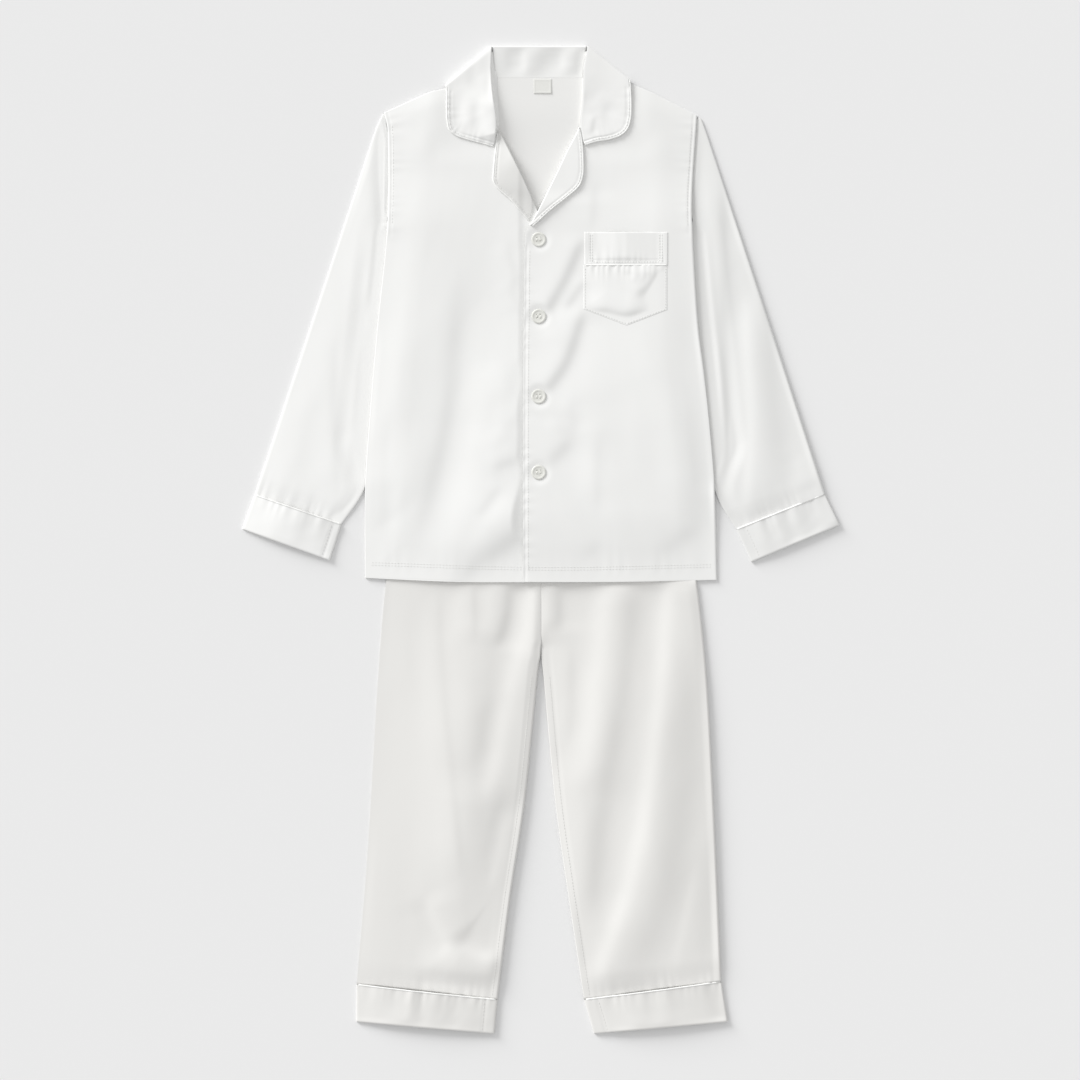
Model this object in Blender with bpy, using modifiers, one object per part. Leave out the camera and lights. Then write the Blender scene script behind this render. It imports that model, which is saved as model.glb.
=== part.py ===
"""A child's satin pyjama set laid flat: a piped, buttoned jacket lying over straight trousers.

Tables are in millimetres on the laid-out set. X runs from the wearer's right to the wearer's
left with the centre front at 0, Y from the trouser hems up to the collar with 0 half way, and
Z up from the surface that the set lies on. Each piece of cloth is an outer surface with a wall
grown inwards from it. A piece that lies on another takes its heights from that piece.
"""

import math
from collections import namedtuple

import bmesh
import bpy
import numpy as np
from mathutils import Matrix, Vector
from mathutils.bvhtree import BVHTree

MM = 0.001

# Cloth
CLOTH = 1.0  # one layer of satin
TURNED = 1.6  # two layers turned and pressed: collar, lapels, bands and cuffs
GAP = 0.3  # between two pieces at a seam or in a pile
LAID = 2 * CLOTH + GAP  # a back with a front lying on it
LOFT = 1.2  # air under a front away from its seams
SEAM_REACH = 16.0  # how far from a seam the cloth stays pressed flat
PIPING = 1.8  # diameter of the corded edge
PIPED = PIPING + GAP  # what the piping takes from a cloth edge

# What lifts the jacket off the surface
WAISTBAND_DEPTH = 2 * TURNED + 0.5
SLEEVE_DEPTH = LAID + 0.2
CUFF_DEPTH = 2 * TURNED + 0.6
OVER_TROUSERS = WAISTBAND_DEPTH + 0.6
OVER_SLEEVE = LAID + 0.5
OVER_FALL = TURNED + 0.5

# Jacket
CHEST_SIDE = 17.0  # how far each sleeve is tucked under the side
SIDE_RAMP = 30.0  # over which the side comes down again
LAP_EDGE = 15.0  # hidden edge of the under front
BUTTON_X = -2.3
BUTTON_Y = (300.5, 223.6, 143.4, 67.6)
BUTTON_RADIUS = 7.2
BUTTON_THICKNESS = 2.2
BUTTON_HOLE = 0.8
BUTTON_HOLE_SPREAD = 1.7
LABEL_SIZE = (18.0, 14.5)
LABEL_CENTRE = (1.5, 454.0)

# Trousers
WAIST_HALF = 126.0
WAIST_Y = 77.0
WAISTBAND_TOP = 107.0
HALF_GAP = 0.2  # from the centre seam to each leg

Fold = namedtuple("Fold", "start bend end width height")
Station = namedtuple("Station", "roll edge")
Sleeve = namedtuple("Sleeve", "mouth inner outer seam end")
Leg = namedtuple("Leg", "outer inner seam end")
Finish = namedtuple("Finish", "name colour roughness metallic")

SATIN = Finish("white_satin", (0.86, 0.86, 0.85), 0.32, 0.0)
SATIN_TRIM = Finish("white_satin_trim", (0.88, 0.88, 0.87), 0.30, 0.0)
BUTTON_SHELL = Finish("button_shell", (0.80, 0.80, 0.78), 0.18, 0.0)
LABEL_TAPE = Finish("label_tape", (0.90, 0.90, 0.89), 0.55, 0.0)

# Seam and edge lines, each a short row of points that a smooth curve passes through
SIDE_RIGHT = ((-176, -38), (-176, 50), (-170, 140), (-163, 220), (-154, 310), (-153, 400), (-157, 427.6))
SIDE_LEFT = ((176, -40), (174, 45), (169, 110), (163, 168), (157, 218), (152, 300), (151, 345), (156, 425))
HEM_DIP = -43.0
SHOULDER_RIGHT = ((-157, 427.6), (-111, 448.4), (-97, 451.3), (-81, 457.5), (-51, 474))
SHOULDER_LEFT = ((50, 475), (84, 459), (91, 456), (109, 448.4), (156, 425))
BACK_NECK = ((-38, 463.9), (42, 463.9))
NECK_EDGE_RIGHT = (
    (LAP_EDGE, -42),
    (LAP_EDGE, 120),
    (LAP_EDGE, 278),
    (7, 308),
    (-4, 330),
    (-18, 362),
    (-34, 395),
    (-44.5, 416),
    (-47, 435),
    (-51, 474),
)
NECK_EDGE_LEFT = (
    (-18, -42),
    (-18, 120),
    (-17, 240),
    (-16, 298),
    (-14, 310),
    (-6.7, 322.1),
    (10.4, 356.4),
    (26, 389.3),
    (38, 413),
    (41, 425),
    (42.6, 444),
    (50, 475),
)

# Lapels and collar: a station for each place along them, from the break up
LAPEL_RIGHT = (
    Station((-42.5, 410), (-44.2, 407)),
    Station((-36, 398), (-46, 390)),
    Station((-28, 382), (-48, 368)),
    Station((-21, 368), (-48, 358.5)),
    Station((-14, 353), (-43, 350.5)),
    Station((-9, 341), (-31, 340)),
    Station((-8.5, 331), (-20, 327)),
    Station((-10.5, 323), (-13, 319)),
)
LAPEL_LEFT = (
    Station((38.3, 413), (39.5, 411)),
    Station((34, 404), (41.8, 397)),
    Station((26, 389.3), (42.8, 380)),
    Station((18, 372), (42.6, 366)),
    Station((10.4, 356.4), (38.5, 353.6)),
    Station((3, 341), (27, 343)),
    Station((-4, 327), (10, 329.5)),
    Station((-11, 315), (-8, 313)),
)

LEAF_RIGHT = (
    Station((-46.6, 397), (-47.8, 393)),
    Station((-45.9, 402), (-61, 396.7)),
    Station((-45.2, 408), (-75, 400.4)),
    Station((-44.6, 415), (-85.5, 404.2)),
    Station((-45, 423), (-92, 410)),
    Station((-46.2, 432), (-94.2, 418)),
    Station((-47.7, 442), (-94.8, 428)),
    Station((-49, 454), (-94.7, 438)),
    Station((-50, 472), (-94.5, 448)),
)
LEAF_LEFT = (
    Station((42.6, 398), (43.8, 394.3)),
    Station((41.8, 403), (55, 397.8)),
    Station((41, 408), (69, 400.2)),
    Station((40, 414), (80.5, 404.5)),
    Station((39.8, 422), (87.3, 411.5)),
    Station((41, 432), (90.2, 421.5)),
    Station((42, 442), (90.8, 432)),
    Station((42.5, 454), (90.6, 442)),
    Station((42.8, 472), (90, 452)),
)
SILHOUETTE_RIGHT = Station((-49.6, 494), (-95.3, 455))
SILHOUETTE_LEFT = Station((47, 494), (89.3, 459.5))
FALL_UNDER = (
    Station((-41, 494), (-79, 447)),
    Station((-24, 494), (-44, 444.5)),
    Station((0, 494), (0, 443.5)),
    Station((22, 494), (42, 444.5)),
    Station((42, 494), (74, 447)),
)
STAND_SEAM_Y = 464.4
STAND_SEAM_X = (-37, -22, 1, 23, 41)
ROLL_RISE = 1.6  # how much higher the collar stands along its roll line

POCKET_BAND_CORNER = (43.5, 275.0)
POCKET_BAND_SIZE = (83.0, 32.5)
POCKET_SIDES = (42.5, 126.0)
POCKET_TOP = 274.6
POCKET_CORNER_Y = 231.0
POCKET_POINT = (85.5, 214.5)

SLEEVE_RIGHT = Sleeve(
    mouth=((-142, 300), (-154.7, 320), (-153.6, 400), (-158, 426.9)),
    inner=((-142, 300), (-149, 240), (-156, 180), (-166, 95), (-177, 50), (-200, 15.4)),
    outer=((-158, 426.9), (-166, 409), (-190, 336), (-240, 185), (-286.5, 45)),
    seam=((-200, 15.4), (-286.5, 45)),
    end=((-211.5, -20.5), (-299, 11)),
)
SLEEVE_LEFT = Sleeve(
    mouth=((139, 300), (152.3, 320), (151.8, 345), (157.3, 424)),
    inner=((139, 300), (145, 240), (152, 180), (162, 95), (176, 44), (195.5, 10.5)),
    outer=((157.3, 424), (163, 415), (184, 352), (234, 200), (284, 46)),
    seam=((195.5, 10.5), (284, 46)),
    end=((210.5, -22), (299, 15)),
)
SLEEVE_TUCKED = 26.0  # width of sleeve that lies under the body

LEG_RIGHT = Leg(
    outer=((-WAIST_HALF, WAIST_Y), (-144, 20), (-155, -43), (-163, -140), (-173, -310), (-184, -445)),
    inner=((0, WAIST_Y), (0, -20), (0, -108), (-3.3, -135), (-16, -260), (-31, -360), (-43.5, -460)),
    seam=((-184.4, -445), (-43.5, -460)),
    end=((-185, -482), (-46.7, -494)),
)
LEG_LEFT = Leg(
    outer=((WAIST_HALF, WAIST_Y), (145, 20), (156, -43), (166, -140), (173, -270), (180.4, -442)),
    inner=((0, WAIST_Y), (0, -20), (0, -108), (3, -142), (14, -260), (28, -360), (43, -460)),
    seam=((180.4, -442), (43, -460)),
    end=((186.8, -482), (53, -494)),
)

# Folds: a curve from start past bend to end, its half width, and its height or depth
FRONT_RIGHT_FOLDS = (
    Fold((-22, 146), (-42, 148), (-66, 156), 8, -1.1),
    Fold((-22, 66), (-42, 70), (-60, 62), 8, -1.0),
    Fold((-22, -4), (-45, -22), (-80, -34), 8, -1.6),
    Fold((-22, 56), (-42, 20), (-72, -20), 10, 1.5),
    Fold((-108, 255), (-118, 110), (-131, -15), 15, -0.9),
    Fold((-72, 118), (-88, 60), (-112, -15), 12, 1.1),
    Fold((-96, 392), (-92, 300), (-98, 210), 14, 0.8),
)
FRONT_LEFT_FOLDS = (
    Fold((4, 238), (22, 262), (40, 300), 7, -1.3),
    Fold((2, 158), (20, 172), (37, 216), 8, -1.5),
    Fold((4, 72), (24, 90), (44, 126), 8, -1.1),
    Fold((10, 212), (24, 226), (36, 246), 8, 0.9),
    Fold((60, 92), (42, 40), (20, -15), 10, -1.0),
    Fold((112, 142), (88, 70), (60, -15), 14, 1.1),
    Fold((140, 240), (146, 140), (140, 20), 12, 0.8),
)
SLEEVE_RIGHT_FOLDS = (
    Fold((-204, 175), (-206, 120), (-208, 62), 9, -1.1),
    Fold((-214, 262), (-240, 170), (-262, 84), 12, 1.2),
)
SLEEVE_LEFT_FOLDS = (
    Fold((206, 245), (212, 150), (214, 62), 10, 1.4),
    Fold((190, 330), (196, 215), (196, 110), 9, -1.0),
    Fold((228, 212), (246, 140), (258, 70), 12, 0.9),
)
LEG_RIGHT_FOLDS = (
    Fold((-13, -62), (-26, -140), (-44, -220), 10, 1.6),
    Fold((-28, -62), (-32, -84), (-44, -106), 8, -1.0),
    Fold((-142, -60), (-142, -120), (-139, -185), 9, 0.9),
    Fold((-110, -60), (-112, -130), (-108, -200), 9, 0.9),
    Fold((-84, -60), (-88, -120), (-90, -172), 9, 0.8),
    Fold((-112, -340), (-88, -400), (-52, -430), 16, 1.2),
)
LEG_LEFT_FOLDS = (
    Fold((73, -60), (62, -150), (49, -240), 10, 1.7),
    Fold((93, -60), (78, -150), (60, -262), 10, -1.2),
    Fold((124, -60), (114, -150), (100, -240), 10, 2.0),
    Fold((100, -240), (84, -330), (58, -432), 11, 1.9),
    Fold((158, -160), (148, -300), (134, -430), 10, 0.9),
)

# Grids: columns as shares of a panel's width, close together where it steps up over a sleeve
FRONT_COLUMNS = (0, 0.035, 0.07, 0.105, 0.14, 0.18, 0.23, 0.33, 0.43, 0.53, 0.63, 0.73, 0.82, 0.91, 1)
BACK_STEP_COLUMNS = (0, 0.02, 0.04, 0.06, 0.08, 0.105, 0.14, 0.19, 0.26)
BACK_NECK_COLUMNS = (0.339, 0.38, 0.44, 0.51, 0.58, 0.636, 0.661)
BACK_COLUMNS = (*BACK_STEP_COLUMNS, *BACK_NECK_COLUMNS, *(1 - share for share in BACK_STEP_COLUMNS[::-1]))
FRONT_ROWS = 27
BACK_ROWS = 20
LEG_COLUMNS = 11
LEG_ROWS = 24
LEG_BACK_GRID = (4, 12)
LAPEL_COLUMNS = 5
LEAF_COLUMNS = 7
POCKET_GRID = (11, 8)
BAND_GRID = (11, 5)
SLEEVE_STATIONS = 16
CUFF_STATIONS = 4
TUBE_RUN = 8  # points across a flattened tube's top and bottom
TUBE_TURN = 5  # points round each of its folds
COLLAR_TURN = 6
STAND_TURN = 5
PIPING_POINTS = 12
LAPEL_PIPING_POINTS = 18
SPLINE_STEPS = 14
BUTTON_STEPS = 20


# Arithmetic on curves and grids -----------------------------------------------------------


def ease(t):
    """0 to 1 with level ends."""
    t = np.clip(t, 0, 1)
    return t * t * (3 - 2 * t)


def along(curve, fractions):
    """Points at the given fractions of a polyline's length."""
    curve = np.asarray(curve, float)
    steps = np.linalg.norm(np.diff(curve, axis=0), axis=1)
    reach = np.concatenate([[0], np.cumsum(steps)])
    at = np.asarray(fractions, float) * reach[-1]
    return np.column_stack([np.interp(at, reach, column) for column in curve.T])


def smooth(points):
    """A fine polyline on the Catmull-Rom curve through the points."""
    p = np.asarray(points, float)
    if len(p) < 3:
        return p
    p = np.vstack([2 * p[0] - p[1], p, 2 * p[-1] - p[-2]])
    t = np.linspace(0, 1, SPLINE_STEPS)[:-1, None]
    spans = [
        0.5 * (2 * b + (c - a) * t + (2 * a - 5 * b + 4 * c - d) * t**2 + (3 * b - a - 3 * c + d) * t**3)
        for a, b, c, d in zip(p, p[1:], p[2:], p[3:])
    ]
    return np.vstack([*spans, p[-2:-1]])


def blended(low, high, near, far, across, up):
    """A plan grid blended between points on its four edges, a point for each share across or up."""
    u, v = across[None, :, None], up[:, None, None]
    ruled = (1 - v) * low + v * high + (1 - u) * near[:, None] + u * far[:, None]
    corners = (1 - u) * (1 - v) * near[0] + u * (1 - v) * far[0] + (1 - u) * v * near[-1] + u * v * far[-1]
    return ruled - corners


def coons(bottom, top, left, right, across, up):
    """A plan grid between four edge lines: a row for each fraction up, a column for each across."""
    return blended(along(bottom, across), along(top, across), along(left, up), along(right, up), across, up)


def inset(curve, towards, distance):
    """The curve moved sideways, to the side on which the other curve's points lie."""
    tangent = np.gradient(curve, axis=0)
    side = np.column_stack([-tangent[:, 1], tangent[:, 0]])
    side /= np.linalg.norm(side, axis=1)[:, None]
    side *= np.sign((side * (towards - curve)).sum(axis=1))[:, None]
    return curve + side * distance


def relief(folds, x, y):
    """Height that the folds add: a rounded ridge or trough along each fold's curve, tapered at its ends."""
    t = np.linspace(0, 1, 25)[:, None]
    total = np.zeros_like(x)
    for fold in folds:
        a, b, c = (np.asarray(point, float) for point in (fold.start, fold.bend, fold.end))
        line = (1 - t) ** 2 * a + 2 * t * (1 - t) * b + t**2 * c
        away = np.hypot(x[..., None] - line[:, 0], y[..., None] - line[:, 1])
        nearest = t[away.argmin(axis=-1), 0]
        taper = ease(np.minimum(nearest, 1 - nearest) * 5 + 0.15)
        total += fold.height * taper * np.exp(-((away.min(axis=-1) / fold.width) ** 2))
    return total


def seam_distance(plan):
    """Each grid point's distance to the grid's four edges, measured along its row and column."""
    across = np.cumsum(np.linalg.norm(np.diff(plan, axis=1, prepend=plan[:, :1]), axis=2), axis=1)
    up = np.cumsum(np.linalg.norm(np.diff(plan, axis=0, prepend=plan[:1]), axis=2), axis=0)
    return across, across[:, -1:] - across, up, up[-1:] - up


def rounded_swell(folds, x, y):
    """Loft and folds, rounded off where a trough would go below the layer underneath."""
    return np.hypot(np.maximum(LOFT + relief(folds, x, y), 0), 0.2)


def puffed(folds, plan, reach=SEAM_REACH):
    """Loft and folds of a laid panel, pressed flat along its four edges."""
    pressed = ease(np.minimum.reduce(seam_distance(plan)) / reach)
    return pressed * rounded_swell(folds, plan[..., 0], plan[..., 1])


# What lies under the jacket ---------------------------------------------------------------


def side_distance(x, y):
    """How far inside the nearer side seam a point of the body is."""
    right = smooth(SIDE_RIGHT)
    left = smooth(SIDE_LEFT)
    from_right = x - np.interp(y, right[:, 1], right[:, 0])
    from_left = np.interp(y, left[:, 1], left[:, 0]) - x
    return np.minimum(from_right, from_left)


def jacket_ground(x, y):
    """Height of whatever the jacket's back lies on: surface, sleeves, trousers or collar fall."""
    sleeve = ease((CHEST_SIDE + SIDE_RAMP - side_distance(x, y)) / SIDE_RAMP)
    sleeve *= ease((372 - y) / 50) * ease((y - 10) / 40)
    half = np.interp(y, (HEM_DIP, WAIST_Y), (156, WAIST_HALF))
    trousers = ease((half + 27 - np.abs(x)) / 24) * ease((176 - y) / 62)
    fall = ease((y - 385) / 52) * ease((128 - np.abs(x)) / 28)
    lifts = (OVER_SLEEVE * sleeve, OVER_TROUSERS * trousers, OVER_FALL * fall)
    return sum(lift**4 for lift in lifts) ** 0.25


def front_lap(x, y):
    """Extra height of the over front where the under front runs below it."""
    return (CLOTH + GAP) * ease((LAP_EDGE + 19 - x) / 17) * ease((352 - y) / 18)


def under_collar(x, y):
    """0 where collar and lapels press the front flat, 1 away from them."""
    return 1 - ease((y - 330) / 40) * ease((118 - np.abs(x)) / 20)


def near_buttons(x, y):
    """0 at a button, 1 away from it."""
    clear = np.ones_like(x)
    for centre in BUTTON_Y:
        clear *= ease((np.hypot(x - BUTTON_X, y - centre) - BUTTON_RADIUS) / 8)
    return clear


# Making objects ---------------------------------------------------------------------------


def clear_scene():
    for thing in list(bpy.data.objects):
        bpy.data.objects.remove(thing)


def collection_named(name, hidden=False):
    made = bpy.data.collections.new(name)
    bpy.context.scene.collection.children.link(made)
    made.hide_render = hidden
    return made


def material_for(finish):
    found = bpy.data.materials.get(finish.name)
    if found:
        return found
    made = bpy.data.materials.new(finish.name)
    made.use_nodes = True
    shader = made.node_tree.nodes["Principled BSDF"]
    shader.inputs["Base Color"].default_value = (*finish.colour, 1)
    shader.inputs["Roughness"].default_value = finish.roughness
    shader.inputs["Metallic"].default_value = finish.metallic
    return made


class Workroom:
    """Makes the pieces, keeps their outer surfaces, and reads heights off them for what lies on top."""

    def __init__(self):
        self.pieces = collection_named("pyjama_set")
        self.cutters = collection_named("cutters", hidden=True)
        self.tops = {}

    def add(self, name, mesh, finish):
        mesh.name = name
        mesh.materials.append(material_for(finish))
        made = bpy.data.objects.new(name, mesh)
        self.pieces.objects.link(made)
        return made

    def cloth(self, name, grids, finish, wall):
        """A cloth wall grown inwards from one or more grids of points that share their joining edges."""
        work = bmesh.new()
        for points in grids:
            add_grid(work, points)
        bmesh.ops.remove_doubles(work, verts=work.verts, dist=0.0001 * MM)
        self.tops[name] = BVHTree.FromBMesh(work)
        mesh = bpy.data.meshes.new(name)
        work.to_mesh(mesh)
        work.free()
        mesh.shade_smooth()
        made = self.add(name, mesh, finish)
        thicken = made.modifiers.new("wall", "SOLIDIFY")
        thicken.thickness = wall * MM
        thicken.offset = -1

    def height(self, names, x, y, reach=3.0):
        """The highest point of the named surfaces at or within reach of each place, in millimetres."""
        steps = ((0, 0), (reach, 0), (-reach, 0), (0, reach), (0, -reach))
        surfaces = [self.tops[name] for name in names]
        found = np.empty(np.shape(x))
        for index in np.ndindex(found.shape):
            around = [(x[index] + dx, y[index] + dy) for dx, dy in steps]
            found[index] = max(surface_height(surface, *place) for surface in surfaces for place in around)
        return found

    def piping(self, name, points):
        """A corded edge: a round tube through the points."""
        curve = bpy.data.curves.new(name, "CURVE")
        curve.dimensions = "3D"
        curve.bevel_depth = PIPING / 2 * MM
        curve.bevel_resolution = 1
        curve.use_fill_caps = True
        line = curve.splines.new("POLY")
        line.points.add(len(points) - 1)
        for spot, (x, y, z) in zip(line.points, points):
            spot.co = (x * MM, y * MM, z * MM, 1)
        curve.materials.append(material_for(SATIN_TRIM))
        self.pieces.objects.link(bpy.data.objects.new(name, curve))


def add_grid(work, points):
    """A grid of quads through rows and columns of points given in millimetres."""
    rows, columns = points.shape[:2]
    made = bmesh.ops.create_grid(work, x_segments=columns - 1, y_segments=rows - 1, size=0.5)["verts"]
    for vertex in made:
        column = round((vertex.co.x + 0.5) * (columns - 1))
        row = round((vertex.co.y + 0.5) * (rows - 1))
        vertex.co = Vector(points[row, column]) * MM


def surface_height(tree, x, y):
    """Height of a surface at a place, or of its nearest point beside it."""
    above = Vector((x * MM, y * MM, 100 * MM))
    hit = tree.ray_cast(above, Vector((0, 0, -1)))[0]
    if hit is None:
        hit = tree.find_nearest(Vector((x * MM, y * MM, 0.004)))[0]
    return hit.z / MM


def stacked(plan, z):
    """Plan points with their heights."""
    return np.concatenate([plan, np.asarray(z)[..., None]], axis=2)


# Jacket -----------------------------------------------------------------------------------


def by_width(line, fractions):
    """Points of an edge line at even shares of its width, so that columns meet its corners."""
    line = np.asarray(line, float)
    x = line[0, 0] + (line[-1, 0] - line[0, 0]) * np.asarray(fractions)
    order = np.argsort(line[:, 0])
    return np.column_stack([x, np.interp(x, line[order, 0], line[order, 1])])


def body_grid(side, other, hem, top, columns, rows):
    """Plan grid of a body panel between its side seam and its other long edge."""
    across = np.asarray(columns, float)
    return blended(
        along(smooth(hem), across),
        by_width(top, across),
        along(smooth(side), np.linspace(0, 1, rows)),
        along(smooth(other), np.linspace(0, 1, rows)),
        across,
        np.linspace(0, 1, rows),
    )


def jacket_back(room):
    top = (*SHOULDER_RIGHT, *BACK_NECK, *SHOULDER_LEFT)
    hem = (SIDE_RIGHT[0], (0, HEM_DIP), SIDE_LEFT[0])
    plan = body_grid(SIDE_RIGHT, SIDE_LEFT, hem, top, BACK_COLUMNS, BACK_ROWS)
    height = jacket_ground(plan[..., 0], plan[..., 1]) + CLOTH
    room.cloth("jacket_back", [stacked(plan, height)], SATIN, CLOTH)


def front_plan(side, neck_edge, shoulder):
    """Plan grid of one front, from its side seam to its neckline and front edge."""
    hem = (side[0], ((side[0][0] + neck_edge[0][0]) / 2, HEM_DIP + 1), neck_edge[0])
    return body_grid(side, neck_edge, hem, shoulder, FRONT_COLUMNS, FRONT_ROWS)


def jacket_front_right(room):
    plan = front_plan(SIDE_RIGHT, NECK_EDGE_RIGHT, SHOULDER_RIGHT)
    x, y = plan[..., 0], plan[..., 1]
    swell = puffed(FRONT_RIGHT_FOLDS, plan) * under_collar(x, y) * ease((-20 - x) / 10)
    height = jacket_ground(x, y) + LAID + swell
    room.cloth("jacket_front_right", [stacked(plan, height)], SATIN, CLOTH)


def jacket_front_left(room):
    plan = front_plan(SIDE_LEFT, NECK_EDGE_LEFT, SHOULDER_LEFT[::-1])
    x, y = plan[..., 0], plan[..., 1]
    swell = puffed(FRONT_LEFT_FOLDS, plan, 10) * under_collar(x, y) * near_buttons(x, y)
    height = jacket_ground(x, y) + LAID + front_lap(x, y) + swell
    points = stacked(plan, height)[:, ::-1]
    room.cloth("jacket_front_left", [points], SATIN, CLOTH)


def station_lines(stations):
    """The smooth roll and edge lines of a table of stations."""
    rolls = np.asarray([station.roll for station in stations], float)
    edges = np.asarray([station.edge for station in stations], float)
    return rolls, edges


def lapel(room, side, stations, front):
    """The turned-back facing, from its roll line to its piped edge, and its piping."""
    rolls, edges = station_lines(stations)
    cut = inset(edges, rolls, PIPED)
    across = np.linspace(0, 1, LAPEL_COLUMNS)[None, :, None]
    plan = (1 - across) * rolls[:, None] + across * cut[:, None]
    height = room.height([front], plan[..., 0], plan[..., 1]) + GAP + TURNED
    flattening = ease(np.linspace(1.2, 0.2, len(stations)))[:, None]
    height += ROLL_RISE * (1 - across[..., 0]) ** 2 * flattening
    points = stacked(plan, height)
    room.cloth(f"lapel_{side}", [points if side == "left" else points[:, ::-1]], SATIN, TURNED)
    line = along(smooth(inset(edges, rolls, PIPING / 2)), np.linspace(0.02, 1, LAPEL_PIPING_POINTS))
    level = room.height([front], line[:, 0], line[:, 1]) + GAP + PIPING / 2
    room.piping(f"lapel_piping_{side}", np.column_stack([line, level]))


def leaf_rows(room, stations, front):
    """Outer surface of one collar leaf: a row of points for each station, from edge to roll line."""
    rolls, edges = station_lines(stations)
    cut = inset(edges, rolls, PIPED)
    across = np.linspace(0, 1, LEAF_COLUMNS)[None, :, None]
    plan = (1 - across) * cut[:, None] + across * rolls[:, None]
    height = room.height([front], plan[..., 0], plan[..., 1]) + GAP + TURNED
    height += ROLL_RISE * across[..., 0] ** 2
    return stacked(plan, height)


def turn_rows(silhouette, top_row):
    """The fall going round the shoulder: the leaf's last row turned down to the surface."""
    roll, edge = np.asarray(silhouette.roll, float), np.asarray(silhouette.edge, float)
    run = (roll - edge) / np.linalg.norm(roll - edge)
    outward = np.array([-run[1], run[0]])
    outward *= np.sign(outward[1])
    line = edge + run * PIPED + np.linspace(0, 1, len(top_row))[:, None] * (roll - edge - run * PIPED)
    radius = top_row[:, 2:] / 2
    rows = []
    for angle in np.linspace(0, math.pi, COLLAR_TURN):
        plan = line + outward * radius * (math.sin(angle) - 1)
        rows.append(np.column_stack([plan, radius * (1 + math.cos(angle))]))
    return np.array(rows)


def collar(room):
    """One collar: two leaves on the fronts, the fall round the back, and the stand above it."""
    right = leaf_rows(room, LEAF_RIGHT, "jacket_front_right")
    left = leaf_rows(room, LEAF_LEFT, "jacket_front_left")
    turn_right = turn_rows(SILHOUETTE_RIGHT, right[-1])
    turn_left = turn_rows(SILHOUETTE_LEFT, left[-1])
    under, stand = back_collar()
    fall = np.concatenate([right, turn_right, under, turn_left[::-1], left[::-1]])
    room.cloth("collar", [fall, stand], SATIN, TURNED)
    collar_piping(room, (right, turn_right), (left, turn_left))


def back_collar():
    """The fall below the back's neckline, and the stand that turns up from it to the neck seam."""
    rolls, edges = station_lines(FALL_UNDER)
    bend = (OVER_FALL + TURNED + 0.2) / 2
    rolls[:, 1] -= bend
    across = np.linspace(0, 1, LEAF_COLUMNS)[None, :, None]
    plan = (1 - across) * (edges + (0, PIPED))[:, None] + across * rolls[:, None]
    under = stacked(plan, np.zeros(plan.shape[:2]))
    angles = np.linspace(0, math.pi, STAND_TURN)[None]
    turn = np.dstack([
        np.repeat(rolls[:, :1], STAND_TURN, axis=1),
        rolls[:, 1:] + bend * np.sin(angles),
        np.repeat(bend * (1 - np.cos(angles)), len(rolls), axis=0),
    ])
    seam = np.column_stack([STAND_SEAM_X, np.full(len(rolls), STAND_SEAM_Y)])
    down = np.array([0.35, 0.7, 1])[None, :, None]
    plan = (1 - down) * rolls[:, None] + down * seam[:, None]
    flat = stacked(plan, np.full(plan.shape[:2], 2 * bend))
    return under, np.concatenate([turn, flat], axis=1)


def collar_piping(room, right, left):
    """The collar's piping, just outside its cut edge from notch to notch and round below the back."""

    def on_front(rows, stations):
        rolls, edges = station_lines(stations)
        line = inset(edges, rolls, PIPING / 2)
        return np.column_stack([line, rows[:, 0, 2] - TURNED / 2])

    def round_shoulder(rows):
        outward = rows[:, 0, :2] - rows[:, 1, :2]
        outward /= np.linalg.norm(outward, axis=1)[:, None]
        line = rows[:, 0, :2] + outward * (PIPED - PIPING / 2)
        return np.column_stack([line, np.clip(rows[:, 0, 2], lowest, rows[0, 0, 2] - TURNED / 2)])

    lowest = PIPING / 2 + 0.1
    edges = station_lines(FALL_UNDER)[1]
    below = np.column_stack([edges + (0, PIPING / 2), np.full(len(edges), lowest)])
    path = np.vstack([
        on_front(right[0], LEAF_RIGHT),
        round_shoulder(right[1])[1:],
        below,
        round_shoulder(left[1])[:0:-1],
        on_front(left[0], LEAF_LEFT)[::-1],
    ])
    room.piping("collar_piping", path)


# Tubes pressed flat -----------------------------------------------------------------------


def tube_sections(plan_at, height_at, depth, width):
    """Closed sections of a tube pressed flat: over the bottom, round a fold, back over the top, and round.

    plan_at gives plan points for shares across; height_at gives the top's height at plan points.
    """
    radius = depth / 2
    run = np.linspace(0, 1, TUBE_RUN)
    turn = np.linspace(0, math.pi, TUBE_TURN)[1:-1]
    tuck = radius / width
    flat = tuck + run * (1 - 2 * tuck)
    out = 1 - tuck + tuck * np.sin(turn)
    back = tuck - tuck * np.sin(turn)
    shares = np.concatenate([flat, out, flat[::-1], back])
    plan = plan_at(shares)
    z = np.zeros(plan.shape[:2])
    count, arc = len(flat), len(turn)
    top = height_at(plan[:, count + arc : 2 * count + arc])
    z[:, count + arc : 2 * count + arc] = top
    z[:, count : count + arc] = radius * (1 - np.cos(turn))
    z[:, 2 * count + arc :] = radius * (1 + np.cos(turn))
    points = stacked(plan, z)
    return np.concatenate([points, points[:, :1]], axis=1)


def cloth_tube(room, name, points, side, wall):
    """A flattened tube's solid, with its sections running the same way round on both sides."""
    room.cloth(name, [points[:, ::-1] if side == "right" else points], SATIN, wall)


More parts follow.
